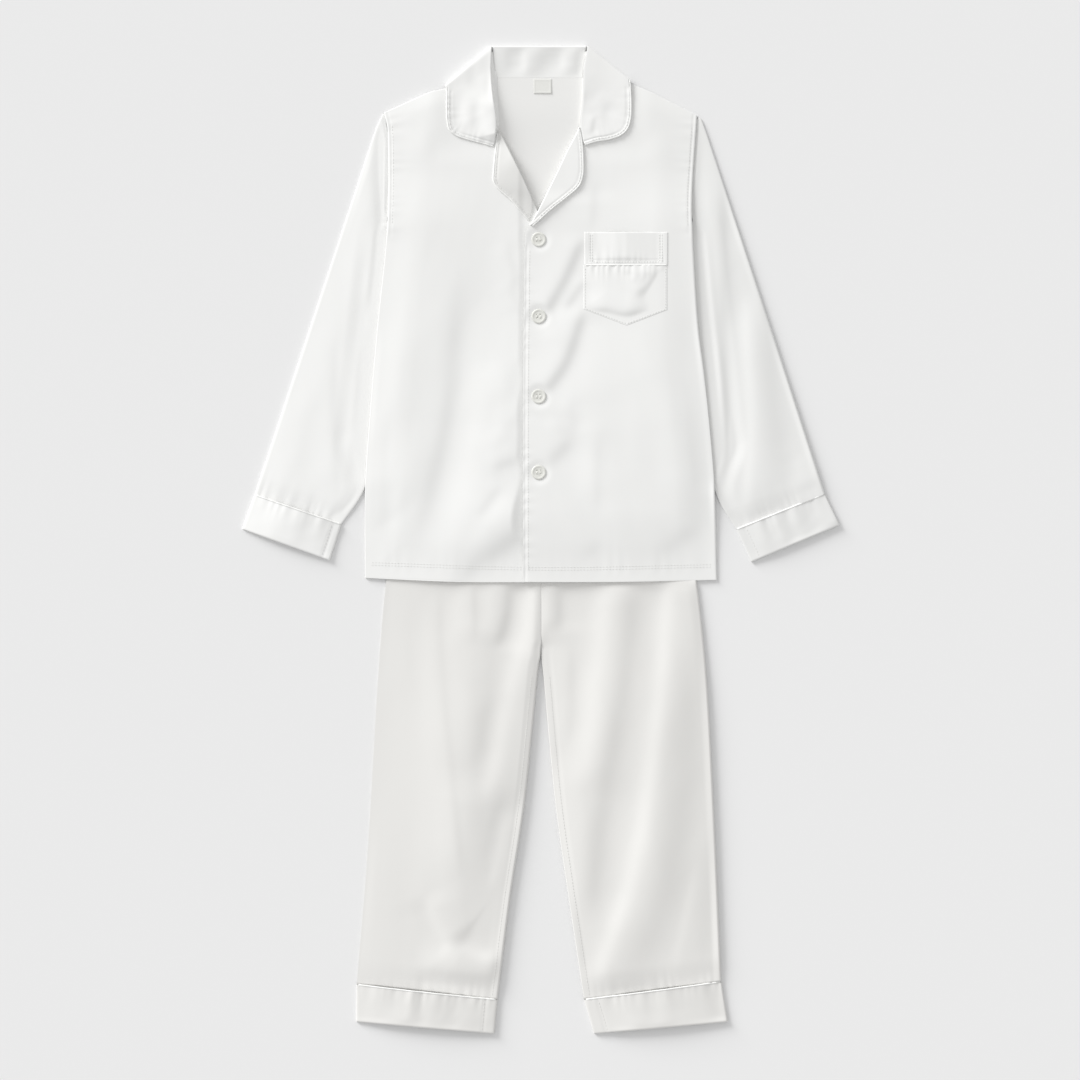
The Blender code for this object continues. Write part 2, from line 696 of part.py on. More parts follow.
def sleeve(room, side, cut, folds):
    """A sleeve folded flat and pressed where the body lies over it, with its turned and piped cuff."""
    stations = np.linspace(0, 1, SLEEVE_STATIONS)

    def plan_at(shares):
        return coons(cut.mouth, cut.seam, smooth(cut.inner), smooth(cut.outer), shares, stations)

    def height_at(plan):
        x, y = plan[..., 0], plan[..., 1]
        outer, inner, mouth, cuff = seam_distance(plan)
        tucked = SLEEVE_TUCKED * ease((y - 40) / 60)
        pressed = ease(outer / 12) * ease((inner - tucked) / SEAM_REACH)
        pressed *= ease(mouth / 22) * ease(cuff / 12)
        return SLEEVE_DEPTH + pressed * rounded_swell(folds, x, y)

    width = math.dist(*cut.seam)
    cloth_tube(room, f"sleeve_{side}", tube_sections(plan_at, height_at, SLEEVE_DEPTH, width), side, CLOTH)
    cuff_tube(room, f"sleeve_cuff_{side}", cut.seam, cut.end, side)
    seam_piping(room, f"sleeve_piping_{side}", cut.seam, [f"sleeve_{side}", f"sleeve_cuff_{side}"])


def cuff_tube(room, name, seam, end, side):
    """A turned cuff pressed flat, from its seam to its end."""
    seam, end = np.asarray(seam, float), np.asarray(end, float)
    drop = (end - seam) / np.linalg.norm(end - seam, axis=1)[:, None]
    start = seam + drop * (GAP + 0.1)
    stations = np.linspace(0, 1, CUFF_STATIONS)[:, None, None]

    def plan_at(shares):
        share = shares[None, :, None]
        near = (1 - share) * start[0] + share * start[1]
        far = (1 - share) * end[0] + share * end[1]
        return (1 - stations) * near + stations * far

    def height_at(plan):
        return np.full(plan.shape[:2], CUFF_DEPTH)

    points = tube_sections(plan_at, height_at, CUFF_DEPTH, math.dist(*seam))
    cloth_tube(room, name, points, side, TURNED)


def seam_piping(room, name, seam, surfaces):
    """Piping that shows along the top of a cuff's seam."""
    line = along(seam, np.linspace(0.02, 0.98, PIPING_POINTS))
    level = room.height(surfaces, line[:, 0], line[:, 1], 2.0) + GAP + PIPING / 2
    room.piping(name, np.column_stack([line, level]))


# What lies on the left front --------------------------------------------------------------


def patch(room, name, low, high, shape, wall):
    """A piece of cloth on the left front, between its lower and its upper edge."""
    columns, rows = shape
    sides = (low[0], high[0]), (low[-1], high[-1])
    plan = coons(low, high, *sides, np.linspace(0, 1, columns), np.linspace(0, 1, rows))
    height = room.height(["jacket_front_left"], plan[..., 0], plan[..., 1]) + GAP + wall
    room.cloth(name, [stacked(plan, height)], SATIN, wall)


def pocket(room):
    """The pointed breast pocket, its turned band above it, and the piping in their seam."""
    x0, x1 = POCKET_SIDES
    low = ((x0, POCKET_CORNER_Y), POCKET_POINT, (x1, POCKET_CORNER_Y - 1))
    patch(room, "pocket", low, ((x0, POCKET_TOP), (x1, POCKET_TOP)), POCKET_GRID, CLOTH)
    bx, by = POCKET_BAND_CORNER
    width, tall = POCKET_BAND_SIZE
    seam = ((bx, by), (bx + width, by))
    patch(room, "pocket_band", seam, ((bx, by + tall), (bx + width, by + tall)), BAND_GRID, TURNED)
    line = along(seam, np.linspace(0.01, 0.99, PIPING_POINTS)) - (0, GAP / 2)
    level = room.height(["pocket", "pocket_band"], line[:, 0], line[:, 1], 2.0) + GAP + PIPING / 2
    room.piping("pocket_piping", np.column_stack([line, level]))


def button_blank():
    """A turned button: flat back, rounded rim and a dished middle, as a half profile from axis to axis."""
    r, t = BUTTON_RADIUS, BUTTON_THICKNESS
    dish = ((0, 0.62 * t), (0.55 * r, 0.62 * t), (0.72 * r, t))
    profile = (*dish, (0.88 * r, t), (r, 0.6 * t), (0.9 * r, 0), (0, 0))
    mesh = bpy.data.meshes.new("button_profile")
    points = [(x * MM, 0, z * MM) for x, z in profile]
    mesh.from_pydata(points, [(i, i + 1) for i in range(len(points) - 1)], [])
    return mesh


def hole_cutter(room, name, middle):
    """A rod through a button, about one of its holes."""
    work = bmesh.new()
    bmesh.ops.create_cone(
        work,
        cap_ends=True,
        segments=8,
        radius1=BUTTON_HOLE * MM,
        radius2=BUTTON_HOLE * MM,
        depth=3 * BUTTON_THICKNESS * MM,
        matrix=Matrix.Translation(middle),
    )
    mesh = bpy.data.meshes.new(name)
    work.to_mesh(mesh)
    work.free()
    cutter = bpy.data.objects.new(name, mesh)
    cutter.hide_render = True
    cutter.display_type = "WIRE"
    room.cutters.objects.link(cutter)
    return cutter


def button(room, number, y):
    """One button with its four holes, lying on the lap."""
    under = room.height(["jacket_front_left"], np.array([BUTTON_X]), np.array([y]), BUTTON_RADIUS)[0]
    middle = Vector((BUTTON_X, y, under + GAP)) * MM
    made = room.add(f"button_{number}", button_blank(), BUTTON_SHELL)
    made.location = middle
    turn = made.modifiers.new("turn", "SCREW")
    turn.steps = turn.render_steps = BUTTON_STEPS
    turn.use_merge_vertices = True
    turn.merge_threshold = 0.01 * MM
    turn.use_normal_calculate = True
    spread = BUTTON_HOLE_SPREAD * MM
    for dx in (-spread, spread):
        for dy in (-spread, spread):
            drill = made.modifiers.new("hole", "BOOLEAN")
            drill.operation = "DIFFERENCE"
            drill.object = hole_cutter(room, f"button_{number}_hole", middle + Vector((dx, dy, 0)))


def neck_label(room):
    """The label sewn below the back neck seam."""
    width, tall = LABEL_SIZE
    cx, cy = LABEL_CENTRE
    x, y = np.meshgrid(cx + width * np.linspace(-0.5, 0.5, 4), cy + tall * np.linspace(-0.5, 0.5, 4))
    height = room.height(["jacket_back"], x, y) + GAP + CLOTH
    room.cloth("neck_label", [np.dstack([x, y, height])], LABEL_TAPE, CLOTH)


# Trousers ---------------------------------------------------------------------------------


def leg(room, side, cut, folds):
    """One leg: its back on the surface, its front on the back, and its turned cuff with piping."""
    sign = -1 if side == "right" else 1
    outer, inner = smooth(cut.outer), smooth(cut.inner)
    inner[:, 0] = sign * np.maximum(sign * inner[:, 0], HALF_GAP)
    waist = (outer[0], inner[0])
    above_cuff = np.asarray(cut.seam, float) + (0, GAP)

    def plan_for(columns, rows):
        across, down = np.linspace(0, 1, columns), np.linspace(0, 1, rows)
        grid = coons(waist, above_cuff, outer, inner, across, down)
        return grid if side == "left" else grid[:, ::-1]

    back = plan_for(*LEG_BACK_GRID)
    room.cloth(f"trouser_back_{side}", [stacked(back, np.full(back.shape[:2], CLOTH))], SATIN, CLOTH)
    front = plan_for(LEG_COLUMNS, LEG_ROWS)
    below_hem = ease((HEM_DIP + 21 - front[..., 1]) / 40)
    height = LAID + 0.1 + puffed(folds, front) * below_hem
    room.cloth(f"trouser_front_{side}", [stacked(front, height)], SATIN, CLOTH)
    cuff_tube(room, f"trouser_cuff_{side}", cut.seam[::-1], cut.end[::-1], side)
    names = [f"trouser_front_{side}", f"trouser_cuff_{side}"]
    seam_piping(room, f"trouser_piping_{side}", cut.seam, names)


def waistband(room):
    """The elastic waistband, a flat ring above both legs."""

    def plan_at(shares):
        across, y = np.meshgrid(shares, np.linspace(WAIST_Y + GAP, WAISTBAND_TOP, CUFF_STATIONS))
        return np.dstack([WAIST_HALF * (1 - 2 * across), y])

    def height_at(plan):
        return np.full(plan.shape[:2], WAISTBAND_DEPTH)

    points = tube_sections(plan_at, height_at, WAISTBAND_DEPTH, 2 * WAIST_HALF)
    cloth_tube(room, "waistband", points, "left", TURNED)


def main():
    clear_scene()
    room = Workroom()
    leg(room, "right", LEG_RIGHT, LEG_RIGHT_FOLDS)
    leg(room, "left", LEG_LEFT, LEG_LEFT_FOLDS)
    waistband(room)
    sleeve(room, "right", SLEEVE_RIGHT, SLEEVE_RIGHT_FOLDS)
    sleeve(room, "left", SLEEVE_LEFT, SLEEVE_LEFT_FOLDS)
    jacket_back(room)
    jacket_front_right(room)
    jacket_front_left(room)
    lapel(room, "right", LAPEL_RIGHT, "jacket_front_right")
    lapel(room, "left", LAPEL_LEFT, "jacket_front_left")
    collar(room)
    pocket(room)
    for number, y in enumerate(BUTTON_Y, start=1):
        button(room, number, y)
    neck_label(room)


main()
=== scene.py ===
"""A child's satin pyjama set laid flat: its cloth, piping, sewing, buttons, label, floor and light.

Sizes are in millimetres on the laid-out set unless a name says otherwise. X runs from the wearer's
right to the wearer's left with the centre front at 0, Y from the trouser hems up to the collar with 0
half way, and Z up from the surface. Every cloth piece is a grid of points over its plan, with its
height worked out as whole arrays: what it lies on, the air inside, the roll of its edges, its creases
and its gathers.
"""

from __future__ import annotations

import logging
import math
from collections.abc import Sequence
from dataclasses import dataclass, field
from enum import Enum

import bpy
import numpy as np
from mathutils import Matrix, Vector


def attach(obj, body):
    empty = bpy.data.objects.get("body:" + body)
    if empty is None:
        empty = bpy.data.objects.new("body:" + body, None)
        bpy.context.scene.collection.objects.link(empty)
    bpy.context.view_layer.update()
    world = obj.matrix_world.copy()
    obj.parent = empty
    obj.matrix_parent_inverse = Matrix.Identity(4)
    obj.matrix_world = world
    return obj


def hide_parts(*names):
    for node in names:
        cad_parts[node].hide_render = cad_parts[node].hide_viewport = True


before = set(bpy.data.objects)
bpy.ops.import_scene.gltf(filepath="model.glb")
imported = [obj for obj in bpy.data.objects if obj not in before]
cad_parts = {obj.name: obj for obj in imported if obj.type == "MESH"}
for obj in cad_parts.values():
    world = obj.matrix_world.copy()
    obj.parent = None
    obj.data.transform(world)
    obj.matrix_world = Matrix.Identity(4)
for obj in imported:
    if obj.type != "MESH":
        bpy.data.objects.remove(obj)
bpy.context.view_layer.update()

LOG = logging.getLogger("pyjama_set")

Place = tuple[float, float]
Line = Sequence[Place]
Array = np.ndarray
Curve = Array | Line
Piece = bpy.types.Object
Colour = tuple[float, float, float]

MM = 0.001
SHEET = 0.6  # wall of one layer of satin
TURNED = 1.1  # wall of a turned piece
CORD_RADIUS = 0.85  # radius of the piping
PIPED = 2 * CORD_RADIUS - 0.35  # what the piping takes from a cloth edge
EDGE_STEPS = (0.0, 0.12, 0.35, 0.8, 1.4, 2.3, 3.3)  # grid lines near an edge that rolls over
STEP = 2.1  # grid spacing elsewhere
SEWN = 0.05  # how far above the cloth its stitches are laid


class Side(Enum):
    """The wearer's side; the value is the sign of X."""

    RIGHT = -1
    LEFT = 1

    @property
    def word(self) -> str:
        """Lower-case name, as used in piece names."""
        return self.name.lower()


class Fold(Enum):
    """How a surface's outside is found."""

    UP = "the surface faces up"
    ROUND = "the surface goes round a space"


# Arithmetic on arrays ---------------------------------------------------------------------


def ease(t: Array | float) -> Array:
    """Smooth step from 0 to 1 with level ends: t squared times (3 - 2t)."""
    t = np.clip(t, 0, 1)
    return t * t * (3 - 2 * t)


def bulge(t: Array | float) -> Array:
    """Quarter circle from 0, where it is upright, to 1, where it is level: root of 1 - (1 - t) squared."""
    t = np.clip(t, 0, 1)
    return np.sqrt(np.maximum(1 - (1 - t) ** 2, 0))


def quarter_sine(t: Array | float) -> Array:
    """Quarter wave from 0 to 1, level at its end."""
    return np.sin(np.clip(t, 0, 1) * math.pi / 2)


def lit_edge(away: Array, share: float, reach: float) -> Array:
    """Edge that steps up a share of its height at once and climbs the rest slowly, by a quarter sine."""
    return share * bulge(away / 0.3) + (1 - share) * quarter_sine(away / reach)


def along(curve: Curve, shares: Array) -> Array:
    """Points at given shares of a polyline's length, by linear interpolation over its arc length.

    Args:
        curve: The polyline, in two or three dimensions.
        shares: Shares of its length, from 0 to 1.

    Returns:
        One point for each share.
    """
    curve = np.asarray(curve, float)
    steps = np.linalg.norm(np.diff(curve, axis=0), axis=1)
    reach = np.concatenate([[0], np.cumsum(steps)])
    at = np.asarray(shares, float) * reach[-1]
    return np.column_stack([np.interp(at, reach, column) for column in curve.T])


def length_of(curve: Curve) -> float:
    """Length of a polyline."""
    return float(np.linalg.norm(np.diff(np.asarray(curve, float), axis=0), axis=1).sum())


def smooth(points: Curve, steps: int = 14) -> Array:
    """A fine polyline on the Catmull-Rom curve through the points.

    Each span is the cubic that passes through its two points with the slope of the chord between
    their neighbours.

    Args:
        points: Points that the curve passes through.
        steps: Points on each span.

    Returns:
        The points of the fine polyline.
    """
    p = np.asarray(points, float)
    if len(p) < 3:
        return p
    p = np.vstack([2 * p[0] - p[1], p, 2 * p[-1] - p[-2]])
    a, b, c, d = p[:-3, None], p[1:-2, None], p[2:-1, None], p[3:, None]
    t = np.linspace(0, 1, steps, endpoint=False)[None, :, None]
    spans = 2 * b + (c - a) * t + (2 * a - 5 * b + 4 * c - d) * t**2 + (3 * b - a - 3 * c + d) * t**3
    return np.vstack([0.5 * spans.reshape(-1, p.shape[1]), p[-2:-1]])


def shares(length: float, step: float = STEP, edge: Sequence[float] = EDGE_STEPS) -> Array:
    """Shares of a length, close together near both ends and evenly spaced between.

    Args:
        length: The whole length.
        step: Spacing away from the ends.
        edge: Distances from each end that get a grid line.

    Returns:
        Shares from 0 to 1.
    """
    lead = np.asarray(edge, float)
    count = max(2, round((length - 2 * lead[-1]) / step) + 1)
    inner = np.linspace(lead[-1], length - lead[-1], count)
    return np.concatenate([lead[:-1], inner, length - lead[-2::-1]]) / length


def blended(low: Array, high: Array, near: Array, far: Array, across: Array, up: Array) -> Array:
    """A plan grid blended between points on its four edges (a Coons patch).

    The grid is the sum of the two ruled surfaces between opposite edges, less the bilinear surface
    of the corners.

    Args:
        low: Points on the lower edge, one for each share across.
        high: Points on the upper edge.
        near: Points on the near edge, one for each share up.
        far: Points on the far edge.
        across: Shares across.
        up: Shares up.

    Returns:
        Rows of points, one row for each share up.
    """
    u, v = across[None, :, None], up[:, None, None]
    ruled = (1 - v) * low + v * high + (1 - u) * near[:, None] + u * far[:, None]
    first = (1 - u) * (1 - v) * near[0] + u * (1 - v) * far[0]
    return ruled - (first + (1 - u) * v * near[-1] + u * v * far[-1])


def patch(bottom: Line, top: Line, left: Line, right: Line, across: Array, up: Array) -> Array:
    """A plan grid between four edge lines, as `blended` with points at the shares of each line."""
    return blended(along(bottom, across), along(top, across), along(left, up), along(right, up), across, up)


def nearest(line: Curve, x: Array, y: Array) -> tuple[Array, Array, Array]:
    """Distance to a polyline, the side it is passed on, and how far along it the nearest point is.

    Each place is projected onto every segment, held within the segment, and the nearest is kept.

    Args:
        line: The polyline.
        x: X of each place.
        y: Y of each place.

    Returns:
        Distances, sides (1 on the left of the line's direction, -1 on the right), and lengths along.
    """
    line = np.asarray(line, float)
    start, step = line[:-1], np.diff(line, axis=0)
    lengths = np.maximum(np.hypot(step[:, 0], step[:, 1]), 1e-9)
    reach = np.concatenate([[0], np.cumsum(lengths)[:-1]])
    dx, dy = x[..., None] - start[:, 0], y[..., None] - start[:, 1]
    t = np.clip((dx * step[:, 0] + dy * step[:, 1]) / lengths**2, 0, 1)
    away = np.hypot(dx - t * step[:, 0], dy - t * step[:, 1])
    best = away.argmin(axis=-1)[..., None]
    turned = np.take_along_axis(step[:, 0] * dy - step[:, 1] * dx, best, -1)[..., 0]
    place = np.take_along_axis(reach + t * lengths, best, -1)[..., 0]
    return np.take_along_axis(away, best, -1)[..., 0], np.sign(turned), place


def away_from(line: Curve, x: Array, y: Array) -> Array:
    """Distance of each place to a polyline."""
    return nearest(line, x, y)[0]


def inset(curve: Array, towards: Array, distance: float) -> Array:
    """The curve moved sideways by a distance, to the side on which the other curve's points lie.

    Args:
        curve: Points of the line.
        towards: The point that each of them moves to.
        distance: How far they move.

    Returns:
        The moved points.
    """
    tangent = np.gradient(curve, axis=0)
    side = np.column_stack([-tangent[:, 1], tangent[:, 0]])
    side /= np.linalg.norm(side, axis=1)[:, None]
    side *= np.sign((side * (towards - curve)).sum(axis=1))[:, None]
    return curve + side * distance


def drift(x: Array, y: Array, seed: int, depth: float = 0.22, tall: float = 1.8) -> Array:
    """Unevenness of laid cloth: ten long waves in mixed directions, drawn out along Y, and ten short ones.

    Args:
        x: X of each place.
        y: Y of each place.
        seed: Seed of the waves' directions, lengths and phases.
        depth: Height of the long waves' sum at about one standard deviation.
        tall: How much longer the waves are along Y than along X.

    Returns:
        The height at each place.
    """
    dice = np.random.default_rng(seed)
    turn, phase = dice.uniform(0, math.pi, 10), dice.uniform(0, math.tau, 10)
    pitch = dice.uniform(36, 130, 10)
    along_wave = np.cos(turn) * x[..., None] + np.sin(turn) * y[..., None] / tall
    waves = np.sin(math.tau * along_wave / pitch + phase) * (pitch / 120) ** 0.8
    short = np.sin(math.tau * along_wave * 4.7 / pitch + 3 * phase) * (pitch / 120) ** 1.3
    return depth * (waves.sum(axis=-1) + 0.13 * short.sum(axis=-1)) / 1.6


@dataclass(frozen=True)
class Slant:
    """A soft step of the cloth across a bent line, which sinks back slowly on both sides.

    Attributes:
        line: Points of the line.
        width: Half width of the step.
        rise: How much the cloth is higher on the left of the line's direction than on the right.
        fade: Share of its length over which each end dies away.
    """

    line: Line
    width: float
    rise: float
    fade: float = 0.3

    def height(self, x: Array, y: Array) -> Array:
        """A hyperbolic tangent across the line, times a wide bell curve and an eased fade at both ends.

        Args:
            x: X of points.
            y: Y of the same points.

        Returns:
            How much the crease adds at each point.
        """
        line = smooth(self.line, 7)
        away, side, place = nearest(line, x, y)
        across, whole = away * side / self.width, length_of(line)
        reach = min(max(self.fade * whole, 3.0 * self.width), whole / 2)
        taper = ease(np.minimum(place, whole - place) / reach)
        return self.rise * taper * np.tanh(across) * np.exp(-((across / 4) ** 2))


@dataclass(frozen=True)
class Gather:
    """Small uneven puckers that run away from a seam.

    Attributes:
        line: The seam.
        pitch: Distance from one pucker to the next.
        depth: Greatest height of a pucker.
        reach: How far from the seam they die away.
        seed: Seed of their sizes.
    """

    line: Line
    pitch: float
    depth: float
    reach: float
    seed: int

    def height(self, x: Array, y: Array) -> Array:
        """A cosine along the seam, with wandering pitch and random sizes, dying away from the seam.

        Args:
            x: X of points.
            y: Y of the same points.

        Returns:
            How much the puckers add at each point.
        """
        away, _, place = nearest(self.line, x, y)
        dice = np.random.default_rng(self.seed)
        knots = np.arange(0, length_of(self.line) + 2 * self.pitch, self.pitch * 1.3)
        size = np.interp(place, knots, dice.uniform(0.1, 1.0, len(knots)))
        reach = self.reach * np.interp(place, knots, dice.uniform(0.5, 1.3, len(knots)))
        phase = math.tau * place / self.pitch + 1.6 * np.sin(place / self.pitch * 1.7 + self.seed)
        return self.depth * size * np.cos(phase) * np.exp(-((away / reach) ** 1.5))


def relief(folds: Sequence[Slant], x: Array, y: Array) -> Array:
    """Sum of the heights of several slants."""
    return sum((fold.height(x, y) for fold in folds), np.zeros_like(x))


def ditch(line: Curve, x: Array, y: Array, depth: float, width: float = 0.9) -> Array:
    """A groove along a line: minus depth times a bell curve of the distance."""
    return -depth * np.exp(-((away_from(line, x, y) / width) ** 2))


def stacked(plan: Array, z: Array) -> Array:
    """Plan points with their heights."""
    return np.concatenate([plan, np.asarray(z)[..., None]], axis=-1)


# Making meshes ----------------------------------------------------------------------------


def cells(values: Array) -> Array:
    """The four corner values of each cell of a grid, in order round the cell."""
    return np.stack([values[:-1, :-1], values[:-1, 1:], values[1:, 1:], values[1:, :-1]], axis=2)


def faces_out(points: Array, fold: Fold) -> bool:
    """Whether a grid's cells already face up, or away from the space that they go round.

    Args:
        points: A grid of points, row by row.
        fold: How the grid is folded.

    Returns:
        True if they do, so that the order of the grid can stay.
    """
    corner = cells(points)
    normal = np.cross(corner[:, :, 2] - corner[:, :, 0], corner[:, :, 3] - corner[:, :, 1])
    if fold is Fold.UP:
        return bool(normal[..., 2].sum() >= 0)
    middle = corner.mean(axis=2)
    return bool(((middle - middle.mean(axis=(0, 1))) * normal).sum() >= 0)


def new_mesh(name: str, places: Array, polygons: list, maps: Array | None = None) -> Piece:
    """An object at the origin from points in millimetres and lists of corners.

    Args:
        name: Name of the piece.
        places: Points, in millimetres.
        polygons: Corner numbers of each face.
        maps: A place in the cloth's own plane, in metres, for each face corner.

    Returns:
        The new object, linked to the scene and shaded smooth.
    """
    mesh = bpy.data.meshes.new(name)
    mesh.from_pydata((places * MM).tolist(), [], polygons)
    if maps is not None:
        layer = mesh.uv_layers.new(name="cloth")
        layer.data.foreach_set("uv", maps.astype(np.float32).ravel())
    mesh.shade_smooth()
    mesh.update()
    made = bpy.data.objects.new(name, mesh)
    bpy.context.scene.collection.objects.link(made)
    return made


def surface(
    name: str, grids: Sequence[Array], wall: float, fold: Fold = Fold.UP, wrap: bool = False
) -> Piece:
    """A cloth shell on one or more grids of points, its wall grown inwards.

    The map of the cloth's own plane is the arc length across and along each grid.

    Args:
        name: Name of the piece.
        grids: Rows of points, in millimetres.
        wall: Thickness of the wall.
        fold: How the outside is found.
        wrap: Whether each row closes on itself.

    Returns:
        The new object.
    """
    places, polygons, maps, offset = [], [], [], 0
    for points in grids:
        if wrap:
            points = np.concatenate([points, points[:, :1]], axis=1)
        if not faces_out(points, fold):
            points = points[:, ::-1]
        rows, columns = points.shape[:2]
        own = columns - 1 if wrap else columns
        index = offset + np.arange(rows)[:, None] * own + np.arange(columns)[None] % own
        across = np.linalg.norm(np.diff(points, axis=1, prepend=points[:, :1]), axis=2).cumsum(axis=1)
        up = np.linalg.norm(np.diff(points, axis=0, prepend=points[:1]), axis=2).cumsum(axis=0)
        polygons.append(cells(index).reshape(-1, 4))
        maps.append(cells(np.stack([across, up], axis=-1)).reshape(-1, 2) * MM)
        places.append(points[:, :own].reshape(-1, 3))
        offset += rows * own
    made = new_mesh(name, np.concatenate(places), np.concatenate(polygons).tolist(), np.concatenate(maps))
    thicken = made.modifiers.new("wall", "SOLIDIFY")
    thicken.thickness = wall * MM
    thicken.offset = -1
    return made


def rings(path: Array, radii: Array, sides: int) -> Array:
    """Rings of points round a path, each across the path's direction with its first point level.

    Args:
        path: Points of the middle line.
        radii: Radius at each of them.
        sides: Number of points of a ring.

    Returns:
        The rings' points, one ring after another.
    """
    tangent = np.gradient(path, axis=0)
    tangent /= np.linalg.norm(tangent, axis=1)[:, None]
    level = np.cross(tangent, (0.0, 0.0, 1.0))
    level /= np.linalg.norm(level, axis=1)[:, None]
    upward = np.cross(level, tangent)
    turn = np.linspace(0, math.tau, sides, endpoint=False)[None, :, None]
    spokes = np.cos(turn) * level[:, None] + np.sin(turn) * upward[:, None]
    return path[:, None] + radii[:, None, None] * spokes


def ring_faces(rows: int, sides: int, offset: int = 0) -> list[list[int]]:
    """Faces of a closed body of rings: a quad between neighbours and a cap on each end.

    Args:
        rows: Number of rings.
        sides: Number of points of a ring.
        offset: Number of points before the first ring.

    Returns:
        The faces, as lists of point numbers.
    """
    index = np.arange(rows)[:, None] * sides + np.arange(sides + 1)[None] % sides
    quads = (cells(index)[:, :, ::-1] + offset).reshape(-1, 4).tolist()
    first = (np.arange(sides) + offset).tolist()
    last = (np.arange(sides)[::-1] + offset + (rows - 1) * sides).tolist()
    return [*quads, first, last]


def cords(name: str, paths: Sequence[Array], radius: float, sides: int = 10, step: float = 1.6) -> Piece:
    """Round cords with rounded ends along paths, in one mesh.

    Each ring's radius is the cord's, times a quarter circle of the distance to the nearer end.

    Args:
        name: Name of the piece.
        paths: The middle line of each cord.
        radius: Radius of the cords.
        sides: Sides of their section.
        step: Distance between rings.

    Returns:
        The new object.
    """
    places, polygons, offset = [], [], 0
    ends = radius * np.array([0, 0.08, 0.3, 0.62, 1.0])
    for path in paths:
        whole = length_of(path)
        at = shares(whole, step, ends)
        radii = radius * np.maximum(bulge(np.minimum(at, 1 - at) * whole / radius), 0.05)
        body = rings(along(path, at), radii, sides)
        polygons += ring_faces(len(body), sides, offset)
        places.append(body.reshape(-1, 3))
        offset += body.shape[0] * sides
    return new_mesh(name, np.concatenate(places), polygons)


def stitches(
    name: str, paths: Sequence[Array], length: float = 2.3, gap: float = 0.9, thread: float = 0.3
) -> Piece:
    """Rows of stitches, each a short arched thread whose ends dip into the cloth.

    One stitch is rings of five points at set shares of its length, with a radius that shrinks and a
    height that falls towards both ends; it is placed at every stitch's middle, along the path.

    Args:
        name: Name of the piece.
        paths: Lines on the cloth's surface.
        length: Length of a stitch.
        gap: Gap between stitches.
        thread: Thickness of the thread.

    Returns:
        The new object.
    """
    share = np.array([-0.5, -0.36, 0.0, 0.36, 0.5])
    radius = thread / 2 * np.array([0.35, 0.85, 1.0, 0.85, 0.35])
    lift = thread * np.array([-0.9, 0.1, 0.35, 0.1, -0.9])
    turn = np.linspace(0, math.tau, 5, endpoint=False)
    forward = np.repeat(share * length, 5)
    sideways = (radius[:, None] * np.cos(turn)).ravel()
    upwards = (lift[:, None] + radius[:, None] * np.sin(turn)).ravel()
    middles, headings = [], []
    for path in paths:
        whole = length_of(path)
        count = max(1, int(whole / (length + gap)))
        at = (np.arange(count) + 0.5) / count
        middles.append(along(path, at))
        ahead, behind = np.minimum(at + 0.01 / count, 1), np.maximum(at - 0.01 / count, 0)
        headings.append(along(path, ahead) - along(path, behind))
    middle, heading = np.concatenate(middles), np.concatenate(headings)
    heading /= np.linalg.norm(heading, axis=1)[:, None]
    level = np.cross(heading, (0.0, 0.0, 1.0))
    level /= np.linalg.norm(level, axis=1)[:, None]
    upward = np.cross(level, heading)
    places = (
        middle[:, None]
        + forward[None, :, None] * heading[:, None]
        + sideways[None, :, None] * level[:, None]
        + upwards[None, :, None] * upward[:, None]
    )
    one = ring_faces(5, 5)
    size = places.shape[1]
    polygons = [[corner + size * number for corner in face] for number in range(len(middle)) for face in one]
    return new_mesh(name, places.reshape(-1, 3), polygons)


# Finishes ---------------------------------------------------------------------------------


def set_inputs(node: bpy.types.Node, values: dict[str | int, float]) -> bpy.types.Node:
    """Set some of a node's inputs.

    Args:
        node: The node.
        values: A value for each input, by its name or number.

    Returns:
        The same node.
    """
    for socket, value in values.items():
        node.inputs[socket].default_value = value
    return node


